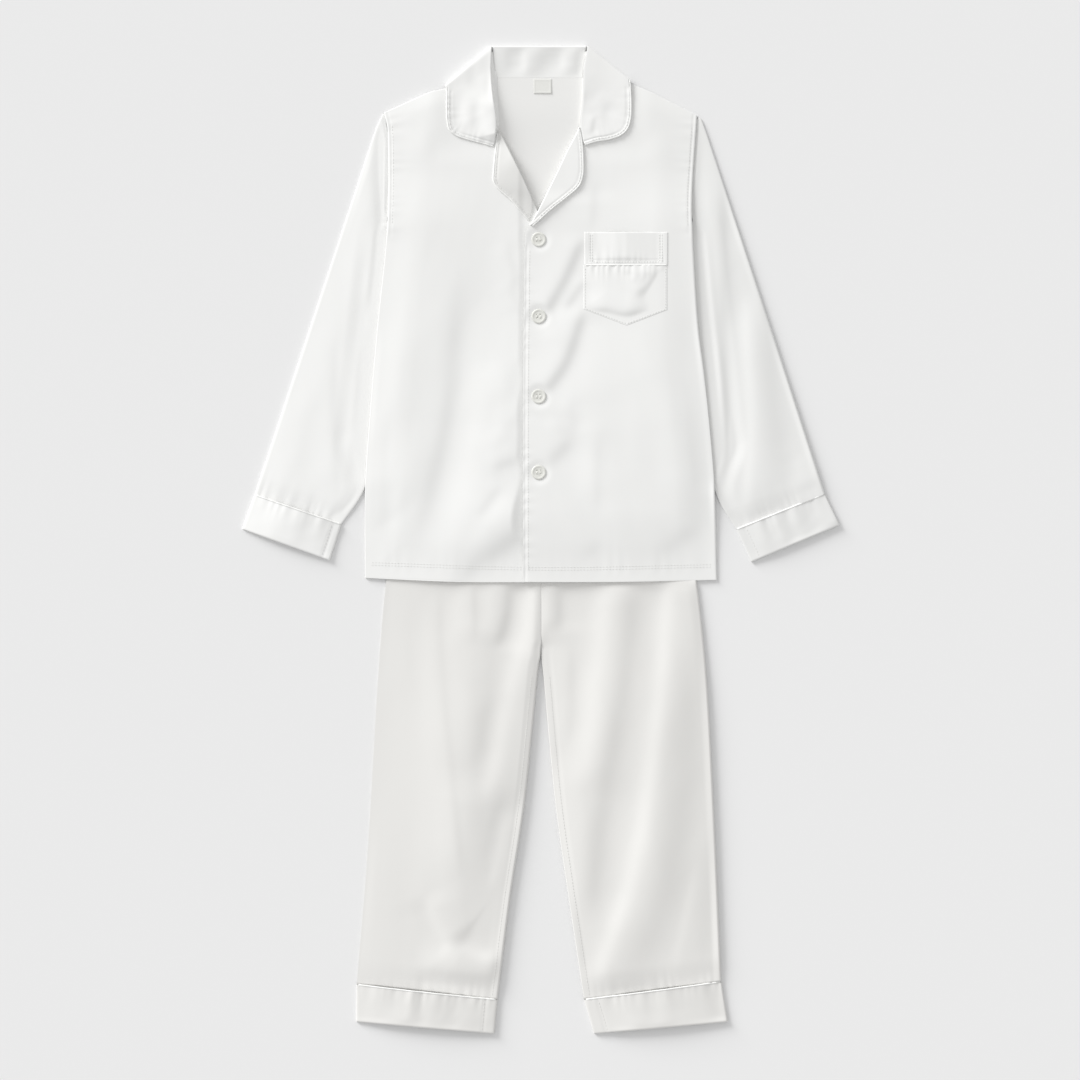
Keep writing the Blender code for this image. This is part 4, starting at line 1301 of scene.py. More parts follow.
@dataclass
class JacketBody:
    """The jacket's back and fronts, and the heights that everything on them is laid to.

    Attributes:
        over_trousers: Lift of the body where the trousers lie under it.
        over_sleeve: Lift of its sides over the tucked sleeves.
        over_fall: Lift of its neck over the collar's fall.
        core: Air between back and front at the seams.
        loft: More air away from them.
        lap: Lift of the left front over the right one.
        hem_dip: Y of the hem at its middle.
        deepest: Lowest that creases press a front, against the level at its seams.
        button_x: X of the buttons.
        button_y: Y of each button, from the top.
        button_radius: Their radius.
        hem_depth: Distance of the hem's groove from its edge.
        hem_rows: Distances of its two rows of stitches.
        placket_rows: Distances of the placket's groove and stitches from its edge.
        armhole_rows: Distances of the armholes' grooves and stitches from their seams.
        panel: Flat width and length of a front.
        back_panel: Flat width and length of the back.
        right_edge: Front edge and neck of the right front, from the hem up.
        left_edge: The same of the left front.
        right_creases: Creases of the right front.
        left_creases: Creases of the left front.
    """

    over_trousers: float = 3.2
    over_sleeve: float = 2.2
    over_fall: float = 1.35
    core: float = 2.2
    loft: float = 1.3
    lap: float = 1.05
    hem_dip: float = -43.0
    deepest: float = -1.7
    button_x: float = -2.3
    button_y: tuple[float, ...] = (300.5, 223.6, 143.4, 67.6)
    button_radius: float = 7.2
    hem_depth: float = 14.5
    hem_rows: Place = (13.2, 15.8)
    placket_rows: Place = (2.2, 5.0)
    armhole_rows: Place = (3.4, 4.8)
    panel: Place = (196, 520)
    back_panel: Place = (355, 520)
    right_edge: Line = (
        (LAP_EDGE, -42),
        (LAP_EDGE, 120),
        (LAP_EDGE, 278),
        (7, 308),
        (-4, 330),
        (-18, 362),
        (-34, 395),
        (-44.5, 416),
        (-47, 435),
        (-51, 474),
    )
    left_edge: Line = (
        (-18, -42),
        (-18, 120),
        (-17, 240),
        (-16, 298),
        (-14, 310),
        (-6.7, 322.1),
        (10.4, 356.4),
        (26, 389.3),
        (38, 413),
        (41, 425),
        (42.6, 444),
        (50, 475),
    )
    right_creases: tuple[Slant, ...] = (
        Slant(((-80, 290), (-87, 190), (-95, 120), (-109, 55), (-134, -40)), 11, -1.65, 0.35),
        Slant(((-60, 180), (-69, 90), (-84, 35), (-103, -34)), 13, 0.5, 0.2),
        Slant(((-124, 225), (-136, 140), (-146, 80)), 16, -0.7),
        Slant(((-144, 64), (-149, -12)), 7, 0.3),
        Slant(((-155, 150), (-157, 80), (-158, -22)), 7, -0.45),
        Slant(((-33, 184), (-29, 132)), 8, -0.6),
        Slant(((-12, 80), (-34, 77), (-54, 68)), 6, -0.65),
        Slant(((-40, 118), (-28, 98)), 6, -0.2),
        Slant(((-18, 66), (-49, 25), (-84, -28)), 9, 0.45),
        Slant(((-38, 58), (-66, 20)), 5, -0.4),
        Slant(((8, 28), (-16, 8), (-45, -12), (-96, -48)), 10, -2.1, 0.2),
        Slant(((-35, 302), (-29, 275), (-21, 246)), 4, -0.3),
        Slant(((-33, 262), (-21, 226)), 4, -0.25),
        Slant(((-44, 142), (-41, 96)), 9, 0.35),
        Slant(((-112, 415), (-108, 372)), 8, -0.3),
    )
    left_creases: tuple[Slant, ...] = (
        Slant(((44, 306), (25, 262), (0, 218)), 5, -1.0, 0.2),
        Slant(((45, 236), (31, 192), (21, 170), (-2, 140)), 5.5, -1.1, 0.2),
        Slant(((46, 262), (33, 243), (22, 228)), 4, -0.5),
        Slant(((35, 108), (21, 90), (2, 70)), 7, -0.75),
        Slant(((26, 144), (37, 104)), 5, -0.24),
        Slant(((44, 138), (43, 32)), 9, 0.35),
        Slant(((57, 116), (56, 14)), 5, -0.24),
        Slant(((84, 160), (89, 48)), 16, 0.65),
        Slant(((108, 240), (132, 150), (150, 80), (164, -20)), 16, -1.5, 0.3),
        Slant(((66, 2), (34, -24)), 8, -0.7),
        Slant(((166, 18), (108, -20)), 9, -0.8),
        Slant(((53, 362), (52, 306)), 4, -0.22),
        Slant(((12, 220), (2, 196)), 7, 0.3),
        Slant(((14, 128), (6, 108)), 7, 0.25),
        Slant(((110, 412), (104, 372)), 8, 0.25),
    )

    def __post_init__(self) -> None:
        """Work out the smooth seams once."""
        self.side_line = {Side.RIGHT: smooth(SIDE_RIGHT), Side.LEFT: smooth(SIDE_LEFT)}
        self.edge_line = {Side.RIGHT: smooth(self.right_edge), Side.LEFT: smooth(self.left_edge)}
        self.hem_line = smooth((SIDE_RIGHT[0], (0, self.hem_dip), SIDE_LEFT[0]))
        self.creases = {Side.RIGHT: self.right_creases, Side.LEFT: self.left_creases}
        self.shoulder = {Side.RIGHT: SHOULDER_RIGHT, Side.LEFT: SHOULDER_LEFT}

    def side_distance(self, x: Array, y: Array) -> Array:
        """How far inside the nearer side seam a place is, measured level.

        Args:
            x: X of points.
            y: Y of the same points.

        Returns:
            The distance of each point.
        """
        right, left = self.side_line[Side.RIGHT], self.side_line[Side.LEFT]
        from_right = x - np.interp(y, right[:, 1], right[:, 0])
        from_left = np.interp(y, left[:, 1], left[:, 0]) - x
        return np.minimum(from_right, from_left)

    def ground(self, x: Array, y: Array) -> Array:
        """Height of what the back lies on: the fourth root of the summed fourth powers of the eased lifts.

        Args:
            x: X of points.
            y: Y of the same points.

        Returns:
            The height at each point.
        """
        sleeve = ease((112 - self.side_distance(x, y)) / 90) * ease((372 - y) / 60) * ease((y - 5) / 60)
        half = np.interp(y, (self.hem_dip, 77), (156, 126))
        trousers = ease((half + 30 - np.abs(x)) / 100) * ease((255 - y) / 150)
        fall = ease((y - 385) / 52) * ease((128 - np.abs(x)) / 34)
        lifts = (self.over_sleeve * sleeve, self.over_trousers * trousers, self.over_fall * fall)
        return sum(lift**4 for lift in lifts) ** 0.25

    def back_top(self, x: Array, y: Array) -> Array:
        """Height of the back's outer surface."""
        return self.ground(x, y) + SHEET + 0.1

    def front_top(self, side: Side, x: Array, y: Array) -> Array:
        """Height of a front's outer surface.

        The back's height plus the air inside, which swells away from the seams, with creases held
        above the layer below. The seam away from the light rolls down to the back by a quarter circle,
        and more slowly in its lower part; the one towards it and the shoulders step up and climb slowly;
        both stay high where the sleeves are sewn in. The hem is pressed flatter below a groove, the collar
        presses the neck, and buttons press their places. The left front is lifted where it laps over the
        right one.

        Args:
            side: Which front.
            x: X of points.
            y: Y of the same points.

        Returns:
            The height at each point.
        """
        seam = away_from(self.side_line[side], x, y)
        shoulder = away_from(self.shoulder[side], x, y)
        hem = away_from(self.hem_line, x, y)
        collar = 1 - 0.85 * ease((y - 372) / 70) * ease((114 - np.abs(x)) / 46)
        armhole = Gather(self.side_line[side][self.side_line[side][:, 1] > 300], 11.0, 0.2, 12.0, 7)
        folds = relief(self.creases[side], x, y) + armhole.height(x, y)
        folds = folds + drift(x, y, 5 * side.value + 60, 0.1)
        swell = (self.loft * ease(np.minimum(seam, hem) / 40) + folds * ease(seam / 6)) * collar
        if side is Side.RIGHT:
            highest = 0.45 + 5.0 * ease((-16 - x) / 24)
            swell = np.clip(swell, self.deepest, highest) * ease((4 - x) / 18)
            lapped = 0.0
        else:
            lowest = self.deepest + 1.25 * ease((LAP_EDGE + 19 - x) / 17)
            swell = np.maximum(swell * self.near_buttons(x, y), lowest)
            lapped = self.lapped(x, y)
        pressed = (0.36 + 0.64 * ease((hem - 4) / 70)) * (0.3 + 0.7 * collar)
        low_edge = ease((240 - y) / 110) * ease((y - 42) / 22)
        edge = bulge(seam / 1.7) * (1 - low_edge) + lit_edge(seam, 0.2, 26) * low_edge
        if side is Side.RIGHT:
            edge = lit_edge(seam, 0.62, 30)
        sewn_in = ease((y - 296) / 18)
        edge = edge * (1 - sewn_in) + (0.66 + 0.34 * bulge(seam / 1.8)) * sewn_in
        roll = edge * lit_edge(shoulder, 0.7, 16)
        sewn = ditch(self.above_hem(self.hem_depth), x, y, 0.04, 0.8)
        hem_puckers = Gather(self.hem_line, 15.0, 0.22, 20.0, 3).height(x, y) * ease(hem / 12 - 0.3)
        arm = inset(self.side_line[side], self.side_line[side] * (0, 1), self.armhole_rows[0])
        seam_line = ditch(arm, x, y, 0.35, 0.8) * sewn_in
        inside = (self.core + swell) * pressed + lapped + sewn + hem_puckers + seam_line
        below = self.back_top(x, y) + 0.1 + SHEET * 0.6
        return below + inside * roll * (0.82 + 0.18 * bulge(hem / 1.4))

    def near_buttons(self, x: Array, y: Array) -> Array:
        """Share of its swell that the left front keeps near its buttons: the product of eased distances.

        Args:
            x: X of points.
            y: Y of the same points.

        Returns:
            The share at each point.
        """
        kept = np.ones_like(x)
        for centre in self.button_y:
            away = np.hypot(x - self.button_x, y - centre) - self.button_radius
            kept = kept * (0.45 + 0.55 * ease(away / 8 + 0.15))
        return kept

    def lapped(self, x: Array, y: Array) -> Array:
        """Lift of the left front over the right one, with the puckers and the groove of its placket.

        Args:
            x: X of points.
            y: Y of the same points.

        Returns:
            How much it adds at each point.
        """
        lift = self.lap * ease((LAP_EDGE + 90 - x) / 100) * ease((352 - y) / 18)
        placket = self.edge_line[Side.LEFT][self.edge_line[Side.LEFT][:, 1] < 296]
        beside = away_from(placket, x, y)
        puckers = Gather(placket, 14.0, 0.34, 6.0, 9).height(x, y) * ease(beside / 3 + 0.3)
        groove = inset(placket, placket + (9, 0), self.placket_rows[0])
        return lift + puckers + ditch(groove, x, y, 0.25, 0.8)

    def above_hem(self, distance: float) -> Array:
        """The hem's line moved up by a distance."""
        return inset(self.hem_line, self.hem_line + (0, 9), distance)

    def body_plan(
        self, side_curve: Array, other: Array, hem: Line, top: Line, across: Array, up: Array
    ) -> Array:
        """Plan grid of a body panel between its side seam and its other long edge."""
        low, high = along(smooth(hem), across), by_width(top, across)
        return blended(low, high, along(side_curve, up), along(other, up), across, up)

    def back(self) -> None:
        """Make the back panel, whose inside shows in the neck."""
        across, up = shares(352, 4.2), shares(500, 5.0)
        neck = [*SHOULDER_RIGHT, *BACK_NECK, *SHOULDER_LEFT]
        hem = (SIDE_RIGHT[0], (0, self.hem_dip), SIDE_LEFT[0])
        sides = self.side_line
        plan = self.body_plan(sides[Side.RIGHT], sides[Side.LEFT], hem, neck, across, up)
        points = stacked(plan, self.back_top(plan[..., 0], plan[..., 1]))
        # the back's satin: its inside face is duller, and painted darker and warmer for the shade in the
        # neck
        cloth("jacket_back_satin", [points], NECK_FACE_AND_SHADE_SATIN, "jacket_back", self.back_panel)

    def front(self, side: Side) -> None:
        """Make one front panel.

        Args:
            side: Which front.
        """
        seam, edge = self.side_line[side], self.edge_line[side]
        shoulder = self.shoulder[side] if side is Side.RIGHT else self.shoulder[side][::-1]
        hem = (seam[0], ((seam[0][0] + edge[0][0]) / 2, self.hem_dip + 1), edge[0])
        plan = self.body_plan(seam, edge, hem, shoulder, shares(190), shares(512, 2.3))
        points = stacked(plan, self.front_top(side, plan[..., 0], plan[..., 1]))
        node = f"jacket_front_{side.word}"
        cloth(f"{node}_satin", [points], JACKET_SATIN, node, self.panel, ["jacket_back_satin"])

    def on_front(self, side: Side, line: Array, above: float = SEWN) -> Array:
        """A plan line laid on a front."""
        return stacked(line, self.front_top(side, line[:, 0], line[:, 1]) + above)

    def sewing(self) -> None:
        """Make the stitches of the hem, the placket and the armholes."""
        rows = []
        for distance in self.hem_rows:
            whole = along(self.above_hem(distance), np.linspace(0.015, 0.985, 260))
            rows.append(self.on_front(Side.RIGHT, whole[whole[:, 0] < -19]))
            rows.append(self.on_front(Side.LEFT, whole[whole[:, 0] > -15]))
        placket = self.edge_line[Side.LEFT]
        placket = placket[(placket[:, 1] < 292) & (placket[:, 1] > -36)]
        row = inset(placket, placket + (9, 0), self.placket_rows[1])
        rows.append(self.on_front(Side.LEFT, along(row, np.linspace(0, 1, 200))))
        for side in Side:
            arm = self.side_line[side]
            arm = arm[(arm[:, 1] > 312) & (arm[:, 1] < 416)]
            row = inset(arm, arm * (0, 1), self.armhole_rows[1])
            rows.append(self.on_front(side, along(row, np.linspace(0, 1, 60))))
        dress(stitches("jacket_stitches", rows), THREAD)

    def build(self) -> None:
        """Make the back, both fronts and their sewing."""
        self.back()
        self.front(Side.RIGHT)
        self.front(Side.LEFT)
        self.sewing()


# Sleeves ----------------------------------------------------------------------------------


@dataclass
class Sleeve:
    """A sleeve folded flat, tucked a little under the body, with its turned and piped cuff.

    Attributes:
        side: The wearer's side.
        mouth: Armhole end, from the underarm to the shoulder tip.
        inner: Underarm fold.
        outer: Outer fold.
        seam: Cuff seam, from the inner to the outer fold.
        end: Lower edge of the cuff.
        creases: Creases of its top.
        seed: Seed of its unevenness.
        rise: How far it comes up where it is free of the body.
        arch: How much the middle of its cuff stands up.
        finish: Its satin, painted lighter on the sleeve towards the light and darker on the one away from
            it.
        pressed_height: Height of its top where it lies under the body.
        tucked: How far it reaches under the body.
        cuff_height: How thick its cuff lies.
        least: Least height of its top.
        flat: Flat width and length of the whole sleeve.
    """

    side: Side
    mouth: Line
    inner: Line
    outer: Line
    seam: Line
    end: Line
    creases: tuple[Slant, ...]
    seed: int
    rise: float
    arch: float
    finish: Satin
    pressed_height: float = 1.75
    tucked: float = 26.0
    cuff_height: float = 3.4
    least: float = 1.4
    flat: Place = (2 * 112, 425)

    def top(self, x: Array, y: Array) -> Array:
        """Height of the top: pressed under the body, and full with air where it is free.

        The free part rises by two eased steps of the distance from the body, and carries the creases, the
        gathers of the cuff's seam and the groove of its own seam. The cloth thins towards the cuff.

        Args:
            x: X of points.
            y: Y of the same points.

        Returns:
            The height at each point.
        """
        inner = smooth(self.inner)
        inn, out = away_from(inner, x, y), away_from(smooth(self.outer), x, y)
        mouth, cuff = away_from(self.mouth, x, y), away_from(self.seam, x, y)
        hidden = self.tucked * ease((y - 40) / 60)
        beside = inn - hidden
        free = (0.45 * ease((beside - 4) / 14) + 0.55 * ease((beside - 20) / 70)) * ease(mouth / 60)
        edge = ease(np.minimum(beside + 6, mouth) / 7)
        folds = relief(self.creases, x, y) * ease(cuff / 12) * ease(out / 6) * edge
        gathers = Gather(self.seam, 8.0, 0.4, 12.0, self.seed).height(x, y)
        gathers += Gather(self.seam, 19.0, 0.3, 18.0, self.seed + 2).height(x, y)
        air = 0.5 * ease(out / 30) * free + folds + (gathers + drift(x, y, self.seed, 0.1)) * edge
        own_seam = inset(inner, np.tile(self.outer[2], (len(inner), 1)), 6.5)
        groove = ditch(own_seam, x, y, 0.4, 0.8) * ease((60 - y) / 30)
        air -= 0.8 * (1 - ease(cuff / 22))
        top = np.maximum(self.pressed_height + free * self.rise + air + groove, self.least)
        lit = out if self.side is Side.RIGHT else inn + 40 * ease((y - 10) / 40)
        tuck = 0.35 * (1 - ease(mouth / 3)) * ease((y - 320) / 8)
        return top * lit_edge(lit + 0.6, 0.8, 30) - tuck

    def build(self) -> None:
        """Make and dress the sleeve, its cuff, piping and sewing."""
        word = self.side.word
        width = math.dist(*self.seam)
        inner, outer = smooth(self.inner), smooth(self.outer)
        full = (self.pressed_height + self.rise) / 2
        share, angle, mark = tube_shares(width, (full, 0.5) if self.side is Side.RIGHT else (0.9, full))
        up = shares(length_of(outer), 2.3)
        plan = patch(self.mouth, self.seam, inner, outer, share, up)
        top = self.top(plan[..., 0], plan[..., 1])
        under = 1.6 * (mark == 1) * ease((plan[:3, :, 1] - 318) / 8) * np.array([[1.0], [0.75], [0.3]])
        plan[:3, :, 0] -= self.side.value * under
        points = stacked(plan, tube_height(top, angle, mark))
        node = f"sleeve_{word}"
        cloth(f"{node}_satin", [points], self.finish, node, self.flat, fold=Fold.ROUND, wrap=True)
        seam, end = self.seam[::-1], self.end[::-1]
        cuff = TurnedCuff(seam, end, self.cuff_height, 8.0, self.seed + 40, self.arch)
        cuff.build(f"sleeve_cuff_{word}_satin", self.finish, f"sleeve_cuff_{word}")
        cuff.piping(f"sleeve_cuff_cord_{word}", f"sleeve_piping_{word}")
        dress(stitches(f"sleeve_stitches_{word}", cuff.stitch_lines()), THREAD)


RIGHT_SLEEVE = Sleeve(
    side=Side.RIGHT,
    mouth=((-142, 300), (-154.7, 320), (-153.6, 400), (-158, 426.9)),
    inner=((-142, 300), (-149, 240), (-156, 180), (-166, 95), (-177, 50), (-200, 15.4)),
    outer=((-158, 426.9), (-166, 409), (-190, 336), (-240, 185), (-286.5, 45)),
    seam=((-200, 15.4), (-286.5, 45)),
    end=((-211.5, -20.5), (-299, 11)),
    creases=(
        Slant(((-166, 425), (-166, 360), (-163, 310), (-161, 222)), 6, -0.8, 0.15),
        Slant(((-207, 216), (-207, 130), (-205, 70), (-203, 20)), 5, -0.34),
        Slant(((-194, 205), (-193, 64)), 6, 0.2),
        Slant(((-183, 195), (-183, 96)), 5, -0.24),
        Slant(((-235, 150), (-241, 54)), 8, -0.2),
        Slant(((-187, 106), (-193, 54)), 5, -0.24),
    ),
    rise=1.2,
    arch=1.7,
    # painted light: this sleeve's satin is painted lighter because it lies towards the light
    finish=PAINTED_LIGHT_SLEEVE_SATIN,
    seed=31,
)
LEFT_SLEEVE = Sleeve(
    side=Side.LEFT,
    mouth=((139, 300), (152.3, 320), (151.8, 345), (157.3, 424)),
    inner=((139, 300), (145, 240), (152, 180), (162, 95), (176, 44), (195.5, 10.5)),
    outer=((157.3, 424), (163, 415), (184, 352), (234, 200), (284, 46)),
    seam=((195.5, 10.5), (284, 46)),
    end=((210.5, -22), (299, 15)),
    creases=(
        Slant(((164, 402), (165, 320), (167, 204)), 5, 0.2, 0.2),
        Slant(((181, 372), (183, 240), (184, 140), (182, 40)), 7, -1.35, 0.2),
        Slant(((203, 262), (206, 180), (209, 110), (203, 10)), 7, 0.8, 0.2),
        Slant(((222, 250), (232, 130), (246, 16)), 14, -1.7, 0.3),
        Slant(((255, 90), (259, 44)), 5, 0.2),
    ),
    rise=2.9,
    arch=0.6,
    # painted shade: this sleeve's satin is painted darker because it lies away from the light
    finish=PAINTED_SHADE_SLEEVE_SATIN,
    seed=37,
)


# Collar and lapels ------------------------------------------------------------------------


@dataclass(frozen=True)
class Station:
    """A place along a lapel or collar leaf.

    Attributes:
        roll: Its point on the roll line.
        edge: Its point on the outer edge.
    """

    roll: Place
    edge: Place


FINE = 6  # points of a smooth line between two stations


def station_lines(stations: Sequence[Station]) -> tuple[Array, Array]:
    """The smooth roll line and the smooth outer edge through a row of stations.

    Args:
        stations: Places along a lapel or a leaf.

    Returns:
        The points of both lines.
    """
    rolls = np.array([station.roll for station in stations], float)
    edges = np.array([station.edge for station in stations], float)
    return smooth(rolls, FINE), smooth(edges, FINE)


@dataclass
class Lapel:
    """The turned-back facing of one front, with its piping.

    Attributes:
        side: The wearer's side.
        stations: Places along it, from the notch down to the break.
        edge_lift: How far its outer edge stands above the front.
        roll_lift: How much higher its roll line stands.
        finish: Its satin.
        roll_radius: Radius of the quarter turn at the roll line.
        size: Flat width and length of what shows.
        wall: Thickness of its cloth.
    """

    side: Side
    stations: tuple[Station, ...]
    edge_lift: float
    roll_lift: float
    finish: Satin
    roll_radius: float = 1.1
    size: Place = (48, 108)
    wall: float = 0.5

    def build(self, body: JacketBody) -> None:
        """Make the lapel: flat from the piped edge to the roll, then a quarter turn down into the neck.

        Args:
            body: The jacket's body, which it lies on.
        """
        rolls, edges = station_lines(self.stations)
        cut = inset(edges, rolls, PIPED)
        width = np.linalg.norm(rolls - cut, axis=1)
        radius = np.minimum(self.roll_radius, 0.45 * width)[:, None, None]
        inward = ((cut - rolls) / width[:, None])[:, None]
        across = shares(40, 2.0)[None, :, None]
        flat = (1 - across) * cut[:, None] + across * (rolls[:, None] + inward * radius)
        falling = ease(np.linspace(1.15, 0.25, len(rolls)))[:, None]
        t = across[..., 0]
        base = body.front_top(self.side, flat[..., 0], flat[..., 1])
        x, y = flat[..., 0], flat[..., 1]
        puckers = Gather(edges, 7.0, 0.25, 5.0, 3).height(x, y) + drift(x, y, 77, 0.15, 1.0)
        groove = ditch(inset(edges, rolls, PIPED + 2.6), x, y, 0.3, 0.8)
        lifted = self.roll_lift * np.minimum(width[:, None] / 30, 1) ** 1.6 * t**1.2
        height = base + self.edge_lift + lifted * falling + puckers + groove
        height -= 0.5 * (1 - bulge(t * width[:, None] / 1.2))
        angle = np.linspace(0, math.pi / 2, 7)[1:][None, :, None]
        round_plan = rolls[:, None] + inward * radius * (1 - np.sin(angle))
        crest = height[:, -1:]
        round_z = crest - radius[..., 0] * (1 - np.cos(angle[..., 0]))
        low = body.back_top(rolls[:, 0], rolls[:, 1])[:, None] + 0.6
        drop_plan = np.repeat(rolls[:, None], 3, axis=1)
        drop_z = round_z[:, -1:] + (low - round_z[:, -1:]) * np.array([[0.35, 0.7, 1.0]])
        plan = np.concatenate([flat, round_plan, drop_plan], axis=1)
        z = np.concatenate([height, round_z, drop_z], axis=1)
        word = self.side.word
        front, node = f"jacket_front_{word}_satin", f"lapel_{word}"
        cloth(f"{node}_satin", [stacked(plan, z)], self.finish, node, self.size, [front], self.wall)
        line = inset(edges, rolls, CORD_RADIUS)
        level = np.interp(np.linspace(0, 1, len(line)), np.linspace(0, 1, len(height)), height[:, 2]) - 0.45
        cord = cords(f"lapel_cord_{word}", [stacked(line, level)], CORD_RADIUS)
        dress(cord, PIPING_SATIN, [f"lapel_piping_{word}"])
        row = inset(edges, rolls, PIPED + 1.6)
        height_at = body.front_top(self.side, row[:, 0], row[:, 1]) + self.edge_lift + 0.15
        dress(stitches(f"lapel_stitches_{word}", [stacked(row, height_at)[2:-3]]), THREAD)


RIGHT_LAPEL = Lapel(
    Side.RIGHT,
    (
        Station((-42.5, 410), (-44.2, 407)),
        Station((-36, 398), (-46, 390)),
        Station((-28, 382), (-48, 368)),
        Station((-21, 368), (-48, 358.5)),
        Station((-14, 353), (-43, 350.5)),
        Station((-9, 341), (-31, 340)),
        Station((-8.5, 331), (-20, 327)),
        Station((-10.5, 323), (-13, 319)),
    ),
    edge_lift=1.2,
    roll_lift=5.2,
    # painted shade: this lapel's satin is painted darker than the front's
    finish=PAINTED_SHADE_LAPEL_SATIN,
)
LEFT_LAPEL = Lapel(
    Side.LEFT,
    (
        Station((38.3, 413), (39.5, 411)),
        Station((34, 404), (41.8, 397)),
        Station((26, 389.3), (42.8, 380)),
        Station((18, 372), (42.6, 366)),
        Station((10.4, 356.4), (38.5, 353.6)),
        Station((3, 341), (27, 343)),
        Station((-4, 327), (10, 329.5)),
        Station((-11, 315), (-8, 313)),
    ),
    edge_lift=2.1,
    roll_lift=-0.2,
    finish=JACKET_SATIN,
)


@dataclass(frozen=True)
class Leaf:
    """One leaf of the collar.

    Attributes:
        side: The wearer's side.
        stations: Places along it, from the notch up to the shoulder.
        silhouette: The place where it turns over the shoulder.
        edge_lift: How far its outer edge stands above the front.
        roll_lift: How much higher its roll stands.
        roll_drop: How much the cloth drops just at the roll.
        stand_lean: How far the stand leans in from the roll, at the notch and at the shoulder.
        creases: Its creases.
    """

    side: Side
    stations: tuple[Station, ...]
    silhouette: Station
    edge_lift: float
    roll_lift: float
    roll_drop: float
    stand_lean: Place
    creases: tuple[Slant, ...]


RIGHT_LEAF = Leaf(
    Side.RIGHT,
    (
        Station((-46.6, 397), (-47.8, 393)),
        Station((-45.9, 402), (-61, 396.7)),
        Station((-45.2, 408), (-75, 400.4)),
        Station((-44.6, 415), (-85.5, 404.2)),
        Station((-45, 423), (-92, 410)),
        Station((-46.2, 432), (-94.2, 418)),
        Station((-47.7, 442), (-94.8, 428)),
        Station((-49, 454), (-94.7, 438)),
        Station((-50, 472), (-94.5, 448)),
    ),
    silhouette=Station((-49.6, 494), (-95.3, 455)),
    edge_lift=1.25,
    roll_lift=4.3,
    roll_drop=0.8,
    stand_lean=(0.4, 6.0),
    creases=(
        Slant(((-64, 470), (-80, 452)), 9, -1.0, 0.25),
        Slant(((-74, 452), (-78, 425), (-68, 404)), 6, 0.7),
        Slant(((-62, 446), (-58, 420), (-50, 402)), 5, 0.6),
        Slant(((-86, 440), (-87, 412)), 4, -0.35),
        Slant(((-68, 440), (-68, 408)), 4, -0.4),
        Slant(((-58, 470), (-52, 440)), 5, -0.4),
    ),
)
LEFT_LEAF = Leaf(
    Side.LEFT,
    (
        Station((42.6, 398), (43.8, 394.3)),
        Station((41.8, 403), (55, 397.8)),
        Station((41, 408), (69, 400.2)),
        Station((40, 414), (80.5, 404.5)),
        Station((39.8, 422), (87.3, 411.5)),
        Station((41, 432), (90.2, 421.5)),
        Station((42, 442), (90.8, 432)),
        Station((42.5, 454), (90.6, 442)),
        Station((42.8, 472), (90, 452)),
    ),
    silhouette=Station((47, 494), (89.3, 459.5)),
    edge_lift=2.2,
    roll_lift=-0.2,
    roll_drop=0.2,
    stand_lean=(0.3, 0.3),
    creases=(
        Slant(((84, 458), (66, 470), (54, 484)), 9, -0.4, 0.25),
        Slant(((58, 452), (54, 430)), 6, 0.4),
        Slant(((54, 426), (50, 404)), 2.0, -0.35),
        Slant(((72, 446), (72, 412)), 8, 0.4),
        Slant(((64, 440), (62, 408)), 4, -0.3),
    ),
)


